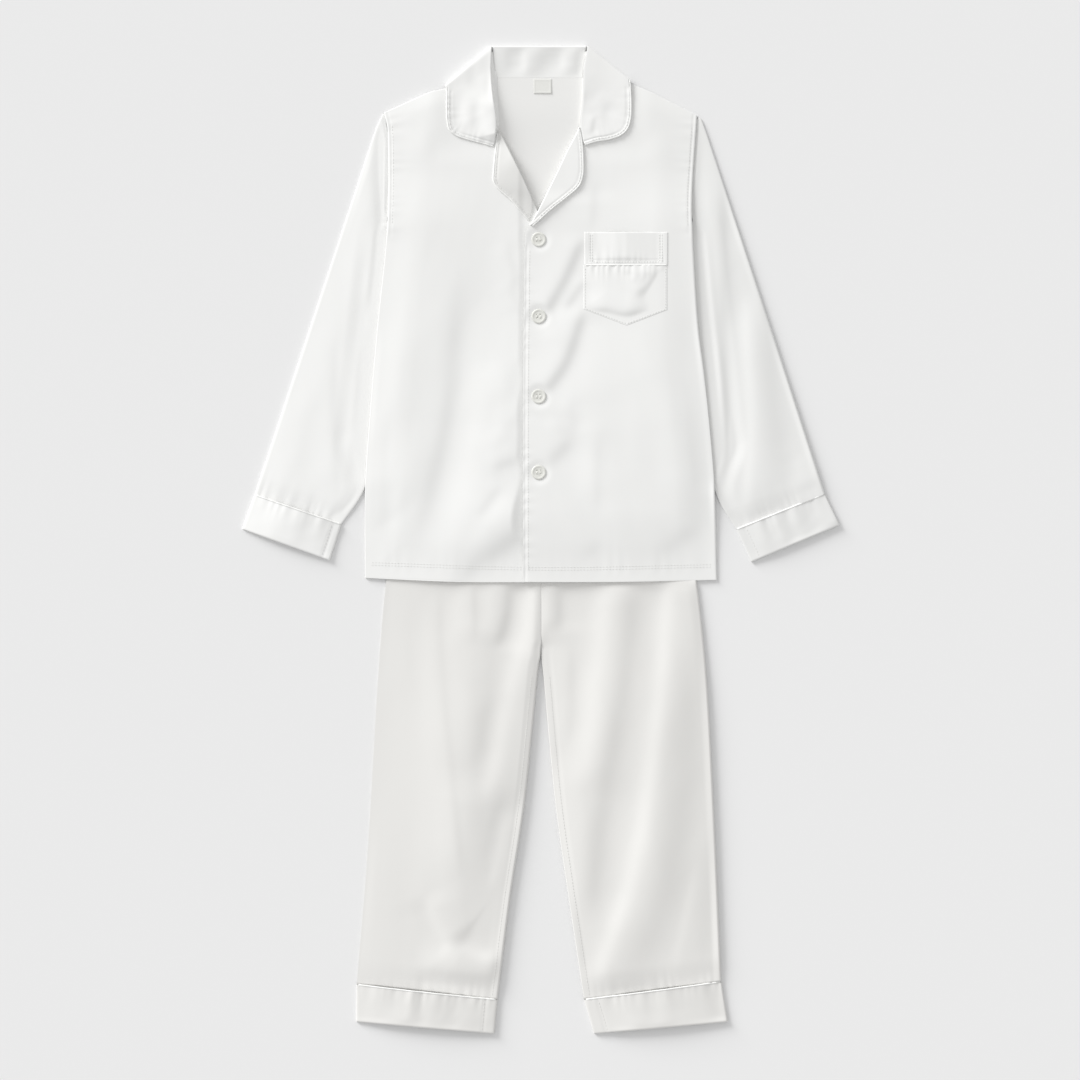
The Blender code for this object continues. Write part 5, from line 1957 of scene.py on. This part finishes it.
@dataclass
class Collar:
    """The collar: two leaves on the fronts, the fall under the back, the stand and the piping.

    Attributes:
        leaves: The right and the left leaf.
        fall_edge: Lower edge of the fall under the back.
        neck_rise: How much the leaves rise towards the neck.
        stand_height: Height of the fold at the back of the neck.
        stand_seam: Y of the stand's lower end.
        turn_depth: Depth of the turn over the shoulder.
        seam_height: Height of the stand's lower end.
        stand_creases: Upright creases of the stand.
        top: Y of the fold.
        fold_ends: X of the fold's ends.
        seam_ends: X of the ends of the neck seam.
        leaf_size: Flat width and length of both leaves.
        back_size: The same of the fall with the stand.
        stand_size: The same of the stands beside the leaves.
        wall: Thickness of the leaves.
        back_wall: Thickness of the fall.
    """

    leaves: tuple[Leaf, Leaf] = (RIGHT_LEAF, LEFT_LEAF)
    fall_edge: Line = ((-79, 447), (-44, 444.5), (0, 443.5), (42, 444.5), (74, 447))
    neck_rise: float = 1.5
    stand_height: float = 4.6
    stand_seam: float = 462.6
    turn_depth: float = 0.7
    seam_height: float = 2.08
    stand_creases: tuple[Slant, ...] = (
        Slant(((-36, 496), (-33, 478), (-31, 462)), 5, -0.5, 0.1),
        Slant(((-18, 496), (-17, 478), (-18, 462)), 4.5, 0.75, 0.1),
        Slant(((0, 496), (0, 462)), 7, -0.6, 0.1),
        Slant(((23, 496), (22, 478), (23, 462)), 5, 0.75, 0.1),
        Slant(((37, 496), (36, 462)), 4, -0.6, 0.1),
    )
    top: float = 494.0
    fold_ends: Place = (-49, 46)
    seam_ends: Place = (-45, 42)
    leaf_size: Place = (110, 84)
    back_size: Place = (160, 100)
    stand_size: Place = (24, 110)
    wall: float = 0.7
    back_wall: float = 0.5

    def leaf(self, leaf: Leaf, body: JacketBody) -> tuple[Array, Array]:
        """One leaf's grid, from its outer edge to the roll, and its piping's path on the front.

        The leaf stands above the front by an edge lift that rises to the roll lift by a power of the
        share across, and everywhere rises towards the neck; the last rows turn down round the shoulder
        to the surface by half an ellipse.

        Args:
            leaf: The leaf.
            body: The jacket's body, which it lies on.

        Returns:
            The grid and the path.
        """
        rolls, edges = station_lines(leaf.stations)
        cut = inset(edges, rolls, PIPED)
        across = shares(52, 2.0)[None, :, None]
        plan = (1 - across) * cut[:, None] + across * rolls[:, None]
        x, y, t = plan[..., 0], plan[..., 1], across[..., 0]
        width = np.linalg.norm(rolls - cut, axis=1)[:, None]
        rolled = leaf.roll_lift * np.minimum(width / 26, 1)
        rolled = rolled * (1 - 1.05 * ease((y - 430) / 42)) * t**1.1
        outline = np.vstack([edges, leaf.silhouette.edge])
        puckers = Gather(outline, 7.0, 0.4, 8.0, 13 * leaf.side.value + 20).height(x, y)
        groove = ditch(inset(edges, rolls, PIPED + 2.8), x, y, 0.4, 0.8)
        z = body.front_top(leaf.side, x, y) + leaf.edge_lift + rolled + puckers * 0.8 + groove
        z += self.neck_rise * ease((y - 425) / 50)
        folds = drift(x, y, 50 + leaf.side.value, 0.15, 1.0) + relief(leaf.creases, x, y)
        z += folds * ease(width * t / 8) * ease(width * (1 - t) / 4)
        edge_drop = 0.5 * (1 - bulge(t * width / 1.1))
        z -= edge_drop + leaf.roll_drop * (1 - bulge((1 - t) * width / 1.3))
        path = stacked(inset(edges, rolls, CORD_RADIUS), z[:, 2] - 0.5)
        turn, turned_path = self.shoulder_turn(leaf.silhouette, plan[-1], z[-1], across)
        return np.concatenate([stacked(plan, z), turn]), np.concatenate([path, turned_path])

    def shoulder_turn(
        self, silhouette: Station, last: Array, top: Array, across: Array
    ) -> tuple[Array, Array]:
        """Rows that carry the leaf up to its silhouette and round it down to the surface.

        Args:
            silhouette: The place where the leaf turns over the shoulder.
            last: The leaf's last row, seen from above.
            top: Height of that row.
            across: Shares across the leaf.

        Returns:
            The rows, and the piping's path along them.
        """
        roll, edge = np.asarray(silhouette.roll, float), np.asarray(silhouette.edge, float)
        run = (roll - edge) / np.linalg.norm(roll - edge)
        outward = np.array([-run[1], run[0]])
        outward *= np.sign(outward[1])
        line = edge + run * PIPED + across[0] * (roll - edge - run * PIPED)
        crest = np.maximum(top, 3.2) + 0.2
        middle = line - outward * self.turn_depth
        rows = []
        for share in (0.25, 0.5, 0.75):
            rows.append(stacked(last + (middle - last) * share, top + (crest - top) * ease(share)))
        for angle in np.linspace(0, math.pi, 13):
            rounded = line + outward * self.turn_depth * (math.sin(angle) - 1)
            rows.append(stacked(rounded, crest / 2 * (1 + math.cos(angle))))
        rows = np.array(rows)
        away = rows[:, 0, :2] - rows[:, 2, :2]
        away /= np.linalg.norm(away, axis=1)[:, None]
        least = CORD_RADIUS + 0.1
        path = stacked(rows[:, 0, :2] + away * least, np.maximum(rows[:, 0, 2] - 0.45, least))
        return rows, path

    def back_fold(self) -> Array:
        """The fall under the back, the fold at the top and the stand down to the neck seam, in one grid.

        Along Y: level on the surface, half an ellipse up to the crest, then down to the neck seam by
        a power of the share left, with upright creases.

        Returns:
            The grid of points.
        """
        low = smooth(self.fall_edge, 12)
        count = len(low)
        x_top = np.linspace(*self.fold_ends, count)
        x_seam = np.linspace(*self.seam_ends, count)
        half, deep = self.stand_height / 2, self.turn_depth
        flat = np.linspace(0, 1, 12)[None, :]
        flat_x = low[:, :1] + (x_top[:, None] - low[:, :1]) * flat
        flat_y = (low[:, 1:] + PIPED) + (self.top - deep - low[:, 1:] - PIPED) * flat
        angle = np.linspace(0, math.pi, 15)[None, 1:]
        turn_x = np.repeat(x_top[:, None], 14, axis=1)
        turn_y = self.top - deep + deep * np.sin(angle) + 0 * turn_x
        turn_z = half * (1 - np.cos(angle)) + 0 * turn_x
        down = np.concatenate([np.linspace(0, 0.98, 26)[1:], (0.99, 0.995, 1.0)])[None]
        stand_x = x_top[:, None] + (x_seam - x_top)[:, None] * down
        stand_y = self.top - deep + (self.stand_seam - self.top + deep) * down + 0 * stand_x
        fall = self.stand_height - self.seam_height
        stand_z = self.seam_height + fall * (1 - down) ** 1.5 + 0 * stand_x
        stand_z += relief(self.stand_creases, stand_x, stand_y) * ease(down / 0.12) * ease((1 - down) / 0.1)
        return np.dstack([
            np.concatenate([flat_x, turn_x, stand_x], axis=1),
            np.concatenate([flat_y, turn_y, stand_y], axis=1),
            np.concatenate([0 * flat_x, turn_z, stand_z], axis=1),
        ])

    def side_stand(self, leaf: Leaf, grid: Array, body: JacketBody) -> Array:
        """The stand in the neck beside one leaf: from the roll down to the back by a cube of the share left.

        Args:
            leaf: The leaf.
            grid: The leaf's grid.
            body: The jacket's body, which it lies on.

        Returns:
            The grid of points.
        """
        rows = (len(leaf.stations) - 1) * FINE + 4
        crest = grid[:rows, -1]
        lean = np.linspace(*leaf.stand_lean, rows)[:, None]
        down = np.linspace(0, 1, 12)[None, :]
        x = crest[:, :1] + lean * down
        y = crest[:, 1:2] + 0 * x
        low = body.back_top(x, y) + 0.4
        return np.dstack([x, y, low + (crest[:, 2:] - low) * (1 - down) ** 3])

    def build(self, body: JacketBody) -> None:
        """Make and dress the collar, its stands, its piping and its sewing.

        Args:
            body: The jacket's body, which it lies on.
        """
        grids, paths, stands, sewn = [], [], [], []
        for leaf in self.leaves:
            grid, path = self.leaf(leaf, body)
            grids.append(grid)
            paths.append(path)
            stands.append(self.side_stand(leaf, grid, body))
            rolls, edges = station_lines(leaf.stations)
            row = inset(edges, rolls, PIPED + 1.7)[4:]
            level = body.front_top(leaf.side, row[:, 0], row[:, 1]) + leaf.edge_lift + 0.15
            sewn.append(stacked(row, level))
        fronts = [f"jacket_front_{leaf.side.word}_satin" for leaf in self.leaves]
        cloth("collar_leaves", grids, JACKET_SATIN, "collar", self.leaf_size, fronts, self.wall)
        fold = [self.back_fold()]
        cloth("collar_back", fold, JACKET_SATIN, "", self.back_size, wall=self.back_wall, fold=Fold.ROUND)
        cloth("collar_stand", stands, JACKET_SATIN, "", self.stand_size, ["jacket_back_satin"])
        below = np.array([(x, y + CORD_RADIUS, CORD_RADIUS + 0.1) for x, y in self.fall_edge])
        whole = np.concatenate([paths[0], below, paths[1][::-1]])
        dress(cords("collar_cord", [whole], CORD_RADIUS), PIPING_SATIN, ["collar_piping"])
        dress(stitches("collar_stitches", sewn), THREAD)


# Pocket, buttons and label ----------------------------------------------------------------


@dataclass
class Pocket:
    """The pointed breast pocket, its turned band, and the piping between them.

    Attributes:
        left: X of its edge towards the placket.
        right: X of its other edge.
        top: Y of its upper edge, under the band.
        corner: Y of its lower corners.
        point: Its lowest point.
        band_corner: Lower corner of the band, towards the placket.
        band_size: Width and height of the band.
        band_rows: Distances of the stitches from the band's ends.
        stitch_inset: Distance of the stitches from the pocket's edges.
        flat: Flat width and length of the pocket.
        band_flat: Flat width and length of the band.
        wall: Thickness of the pocket.
        band_wall: Thickness of the band.
        creases: Its creases.
    """

    left: float = 42.5
    right: float = 126.0
    top: float = 274.6
    corner: float = 231.0
    point: Place = (85.5, 214.5)
    band_corner: Place = (43.5, 275.0)
    band_size: Place = (83.0, 32.5)
    band_rows: Place = (5.2, 7.6)
    stitch_inset: float = 1.6
    flat: Place = (85, 62)
    band_flat: Place = (86, 34.5)
    wall: float = 0.26
    band_wall: float = 0.35
    creases: tuple[Slant, ...] = (
        Slant(((119, 274), (109, 256), (92, 240)), 4.5, -0.9, 0.2),
        Slant(((44, 230), (64, 228), (86, 224), (110, 231)), 4.5, 1.3, 0.3),
        Slant(((89, 271), (84, 263)), 3, -0.3),
        Slant(((101, 272), (96, 262), (90, 254)), 3, -0.3),
        Slant(((108, 271), (102, 261), (96, 253)), 2.5, -0.25),
    )

    def height(self, body: JacketBody, x: Array, y: Array) -> Array:
        """The front's height plus the pocket's wall, its own air, creases and gathers below the band.

        Args:
            body: The jacket's body, which it lies on.
            x: X of points.
            y: Y of the same points.

        Returns:
            The height at each point.
        """
        low = ((self.left, self.corner), self.point, (self.right, self.corner - 1))
        outline = ((self.left, self.top), *low, (self.right, self.top))
        edge = away_from(outline, x, y)
        seam = Gather(((self.left, self.top), (self.right, self.top)), 6.5, 0.5, 9.0, 8)
        own = 0.7 * ease(edge / 26) + (relief(self.creases, x, y) + seam.height(x, y)) * ease(edge / 3.5)
        own = np.maximum(own, 0)
        return body.front_top(Side.LEFT, x, y) + 0.14 + own

    def band_height(self, body: JacketBody, x: Array, y: Array) -> Array:
        """The front's height plus the band's wall, a slanting wave along X, puckers and a groove.

        Args:
            body: The jacket's body, which it lies on.
            x: X of points.
            y: Y of the same points.

        Returns:
            The height at each point.
        """
        bx, by = self.band_corner
        width, tall = self.band_size
        u, v = (x - bx) / width, (y - by) / tall
        edge = np.minimum.reduce([x - bx, bx + width - x, y - by, by + tall - y])
        wave = np.interp(u, (0.08, 0.15, 0.37, 0.50, 0.87, 0.96), (0.0, 0.0, 1.5, 1.75, -0.4, 0.0))
        wave = wave * (0.4 + 0.6 * ease(v * 3.5)) - 0.4 * np.exp(-(((u - 0.46) / 0.05) ** 2) - v * 2.5)
        puckers = Gather(((bx, by), (bx + width, by)), 6.8, 0.55, 9.0, 5).height(x, y)
        near, far = bx + 6.3, bx + width - 7.0
        inner = ((near, by + tall), (near, by + 4.2), (far, by + 4.2), (far, by + tall))
        groove = ditch(inner, x, y, 0.35, 0.8)
        own = wave * ease(np.minimum(x - bx, bx + width - x) / 4) + puckers * ease(edge / 5) + groove
        return body.front_top(Side.LEFT, x, y) + 0.5 + own - 0.15 * (1 - bulge(edge / 1.0))

    def build(self, body: JacketBody) -> None:
        """Make and dress the pocket, the band, the piping and the sewing.

        Args:
            body: The jacket's body, which it lies on.
        """
        low = ((self.left, self.corner), self.point, (self.right, self.corner - 1))
        high = ((self.left, self.top), (self.right, self.top))
        edge = (0.0, 0.35, 0.9, 1.7)
        left, right = (low[0], high[0]), (low[2], high[1])
        plan = patch(low, high, left, right, shares(83, 1.5, edge), shares(50, 1.5, edge))
        points = stacked(plan, self.height(body, plan[..., 0], plan[..., 1]))
        front = ["jacket_front_left_satin"]
        cloth("pocket_satin", [points], JACKET_SATIN, "pocket", self.flat, front, self.wall)
        bx, by = self.band_corner
        width, tall = self.band_size
        left, right = ((bx, by), (bx, by + tall)), ((bx + width, by), (bx + width, by + tall))
        low, high = (left[0], right[0]), (left[1], right[1])
        plan = patch(low, high, left, right, shares(width, 1.5, edge), shares(tall, 1.4, edge))
        points = stacked(plan, self.band_height(body, plan[..., 0], plan[..., 1]))
        flat, wall = self.band_flat, self.band_wall
        cloth("pocket_band_satin", [points], JACKET_SATIN, "pocket_band", flat, front, wall)
        seam = along(((bx + 0.8, by - 0.2), (bx + width - 0.8, by - 0.2)), np.linspace(0, 1, 50))
        level = self.band_height(body, seam[:, 0], seam[:, 1] + 1.2) - 0.4
        path = stacked(seam, level)
        dress(cords("pocket_cord", [path], CORD_RADIUS * 0.9), PIPING_SATIN, ["pocket_piping"])
        rows = []
        for inner in self.band_rows:
            for x in (bx + inner, bx + width - inner - 0.5):
                side = ((x, by + tall - 1.5), (x, by + 3))
                rows.append(along(side, np.linspace(0, 1, 16)))
        rows.append(along(((bx + 8, by + 3.0), (bx + width - 8, by + 3.0)), np.linspace(0, 1, 40)))
        sewn = [stacked(row, self.band_height(body, row[:, 0], row[:, 1]) + SEWN) for row in rows]
        near, far = self.left + self.stitch_inset, self.right - self.stitch_inset
        outline = np.array([
            (near, self.top - 2),
            (near, self.corner + 0.6),
            (self.point[0], self.point[1] + 1.8),
            (far, self.corner - 0.2),
            (far, self.top - 2),
        ])
        for first, second in zip(outline, outline[1:]):
            row = along(np.array([first, second]), np.linspace(0.01, 0.99, 24))
            sewn.append(stacked(row, self.height(body, row[:, 0], row[:, 1]) + SEWN))
        dress(stitches("pocket_stitches", sewn, 2.0, 0.8, 0.38), THREAD)


@dataclass
class Buttons:
    """Four-hole shell buttons with their thread.

    Attributes:
        thickness: Thickness of a button.
        hole: Radius of a hole.
        spread: Distance of each hole from the middle along X and Y.
        sides: Number of points of a ring.
        seat: Radius of the circle on which its height above the cloth is measured.
        thread: Radius of a strand.
        profile: Half profile from the inner foot of the rim to the back, as shares of radius and thickness.
    """

    thickness: float = 0.9
    hole: float = 0.8
    spread: float = 1.7
    sides: int = 72
    seat: float = 5.0
    thread: float = 0.24
    profile: Line = (
        (0.60, 0.61),
        (0.66, 0.68),
        (0.72, 0.84),
        (0.78, 0.96),
        (0.84, 1.0),
        (0.90, 0.98),
        (0.96, 0.86),
        (0.99, 0.70),
        (1.0, 0.52),
        (0.985, 0.34),
        (0.94, 0.16),
        (0.86, 0.04),
        (0.7, 0.0),
        (0.3, 0.0),
    )

    def blank(self, radius: float, turn: float) -> tuple[Array, list[list[int]]]:
        """A turned button: rings of a half profile, with four deep dimples for the holes.

        The profile runs from the middle of the top over the raised rim to the middle of the back. Near
        each hole the top is lowered by a smooth step of the distance to the hole's middle.

        Args:
            radius: Its radius.
            turn: How far it is turned, in radians.

        Returns:
            Its points and its faces.
        """
        inner = np.linspace(0.04, 3.9, 22)
        profile = np.concatenate([
            np.column_stack([inner, np.full(len(inner), 0.60 * self.thickness)]),
            np.array(self.profile) * (radius, self.thickness),
            [(0.04, 0.0)],
        ])
        angle = turn + np.linspace(0, math.tau, self.sides, endpoint=False)
        r, z = profile[:, :1], np.repeat(profile[:, 1:], self.sides, axis=1)
        x, y = r * np.cos(angle), r * np.sin(angle)
        top = np.arange(len(profile))[:, None] <= len(inner)
        for sx in (-1, 1):
            for sy in (-1, 1):
                off = np.hypot(x - sx * self.spread, y - sy * self.spread)
                z = z - np.where(top, 0.6 * (1 - ease((off - self.hole + 0.12) / 0.22)), 0)
        return np.dstack([x, y, z]).reshape(-1, 3), ring_faces(len(profile), self.sides)

    def strands(self, turn: float) -> list[Array]:
        """Four strands of thread, two side by side through each pair of holes, about the button's middle.

        Args:
            turn: How far the button is turned, in radians.

        Returns:
            The middle line of each strand.
        """
        spin = np.array([
            [math.cos(turn), math.sin(turn), 0],
            [-math.sin(turn), math.cos(turn), 0],
            [0, 0, 1],
        ])
        share = np.linspace(-1, 1, 13)
        hump = 0.6 * self.thickness + 0.2 - 0.7 * np.abs(share) ** 5
        made = []
        for sx in (-1, 1):
            for off in (-0.22, 0.22):
                x = sx * self.spread + off + 0 * share
                made.append(np.column_stack([x, share * self.spread, hump]) @ spin)
        return made

    def build(self, body: JacketBody) -> None:
        """Make each button and its thread, lying on the lap.

        Args:
            body: The jacket's body, which it lies on.
        """
        for number, y in enumerate(body.button_y, start=1):
            turn = 0.35 * math.sin(2.1 * number)
            places, faces = self.blank(body.button_radius, turn)
            around = np.linspace(0, math.tau, 12)
            ring_x = body.button_x + self.seat * np.cos(around)
            ring_y = y + self.seat * np.sin(around)
            base = float(body.front_top(Side.LEFT, ring_x, ring_y).max()) + 0.15
            centre = (body.button_x, y, base)
            shell = new_mesh(f"button_{number}_shell", places + centre, faces)
            dress(shell, SHELL, [f"button_{number}"])
            strands = [strand + centre for strand in self.strands(turn)]
            dress(cords(f"button_{number}_thread", strands, self.thread, 6, 0.4), BUTTON_THREAD)


@dataclass
class NeckLabel:
    """The small bare label below the back neck seam, its lower edge standing a little off the cloth.

    Attributes:
        centre: Its middle.
        size: Its width and height.
        lift: How far its lower edge stands up.
        flat: Flat width and height, with what its curl takes.
        wall: Thickness of the tape.
    """

    centre: Place = (1.5, 454.0)
    size: Place = (18.0, 14.5)
    lift: float = 0.35
    flat: Place = (18.5, 15)
    wall: float = 0.2

    def build(self, body: JacketBody) -> None:
        """Make the label with a folded woven border.

        Args:
            body: The jacket's body, which it lies on.
        """
        wide, tall = self.size
        edge = (0, 0.3, 0.7, 1.2)
        u, v = np.meshgrid(shares(wide, 0.7, edge), shares(tall, 0.7, edge))
        x = self.centre[0] + wide * (u - 0.5)
        y = self.centre[1] + tall * (v - 0.5)
        border = np.minimum.reduce([u * wide, (1 - u) * wide, v * tall, (1 - v) * tall])
        z = body.back_top(x, y) + 0.3 + self.lift * (1 - v) ** 1.5 * (0.5 + 0.5 * u)
        z = z + 0.15 * np.exp(-(((border - 1.1) / 0.35) ** 2))
        grids, back = [np.dstack([x, y, z])], ["jacket_back_satin"]
        cloth("neck_label_tape", grids, TAPE, "neck_label", self.flat, back, self.wall, slot=Slot.TAPE)


# Studio -----------------------------------------------------------------------------------


@dataclass
class Studio:
    """Floor, light and camera.

    Attributes:
        view_width: Width of the frame at the cloth, in metres.
        distance: Height of the camera, in metres.
        lens: Focal length, in millimetres.
        key: Strength of the key light.
        key_elevation: Its height above the horizon, in degrees.
        key_azimuth: The direction it comes from, in degrees anticlockwise from +X.
        key_size: Its apparent diameter, in degrees.
        fill: Strength of the light from all round.
        middle: X of the middle of the frame and height of the cloth there, in metres.
        floor_half: Half the width of the floor, in metres.
        floor_level: Its height, in metres.
    """

    view_width: float = 1.08
    distance: float = 3.0
    lens: float = 100.0
    key: float = 3.62
    key_elevation: float = 16.5
    key_azimuth: float = 135.0
    key_size: float = 25.0
    fill: float = 0.704
    middle: Place = (-0.001, 0.004)
    floor_half: float = 6.0
    floor_level: float = -0.0002

    def floor(self) -> None:
        """A wide plain floor just below the cloth."""
        half, level = self.floor_half, self.floor_level
        corners = [(-half, -half, level), (half, -half, level), (half, half, level), (-half, half, level)]
        mesh = bpy.data.meshes.new("floor")
        mesh.from_pydata(corners, [], [(0, 1, 2, 3)])
        made = bpy.data.objects.new("floor", mesh)
        bpy.context.scene.collection.objects.link(made)
        mesh.materials.append(FLOOR.material())

    def lights(self) -> None:
        """A low broad key from beyond the wearer's right shoulder, and an even dome."""
        turn, rise = math.radians(self.key_azimuth), math.radians(self.key_elevation)
        towards = Vector((math.cos(turn) * math.cos(rise), math.sin(turn) * math.cos(rise), math.sin(rise)))
        data = bpy.data.lights.new("key", "SUN")
        data.energy = self.key
        data.angle = math.radians(self.key_size)
        key = bpy.data.objects.new("key", data)
        key.rotation_mode = "QUATERNION"
        key.rotation_quaternion = towards.to_track_quat("Z", "Y")
        bpy.context.scene.collection.objects.link(key)
        world = bpy.data.worlds.new("studio")
        world.use_nodes = True
        back = world.node_tree.nodes["Background"]
        back.inputs["Color"].default_value = (1.0, 1.0, 1.0, 1)
        back.inputs["Strength"].default_value = self.fill
        bpy.context.scene.world = world

    def camera(self) -> None:
        """A long lens straight above the middle of the set."""
        data = bpy.data.cameras.new("camera")
        data.lens = self.lens
        data.sensor_width = self.view_width / self.distance * self.lens
        data.clip_end = 60.0
        made = bpy.data.objects.new("camera", data)
        made.location = (self.middle[0], 0.0, self.distance + self.middle[1])
        bpy.context.scene.collection.objects.link(made)
        bpy.context.scene.camera = made

    def build(self) -> None:
        """Make the camera, the floor and the light, and set plain colour."""
        self.camera()
        self.floor()
        self.lights()
        bpy.context.scene.view_settings.view_transform = "Standard"


def main() -> None:
    """Build the studio and every piece of the set."""
    logging.basicConfig(level=logging.INFO, format="%(name)s: %(message)s")
    Studio().build()
    Trousers().build()
    body = JacketBody()
    body.build()
    RIGHT_SLEEVE.build()
    LEFT_SLEEVE.build()
    RIGHT_LAPEL.build(body)
    LEFT_LAPEL.build(body)
    Collar().build(body)
    Pocket().build(body)
    Buttons().build(body)
    NeckLabel().build(body)


if __name__ == "__main__":
    main()
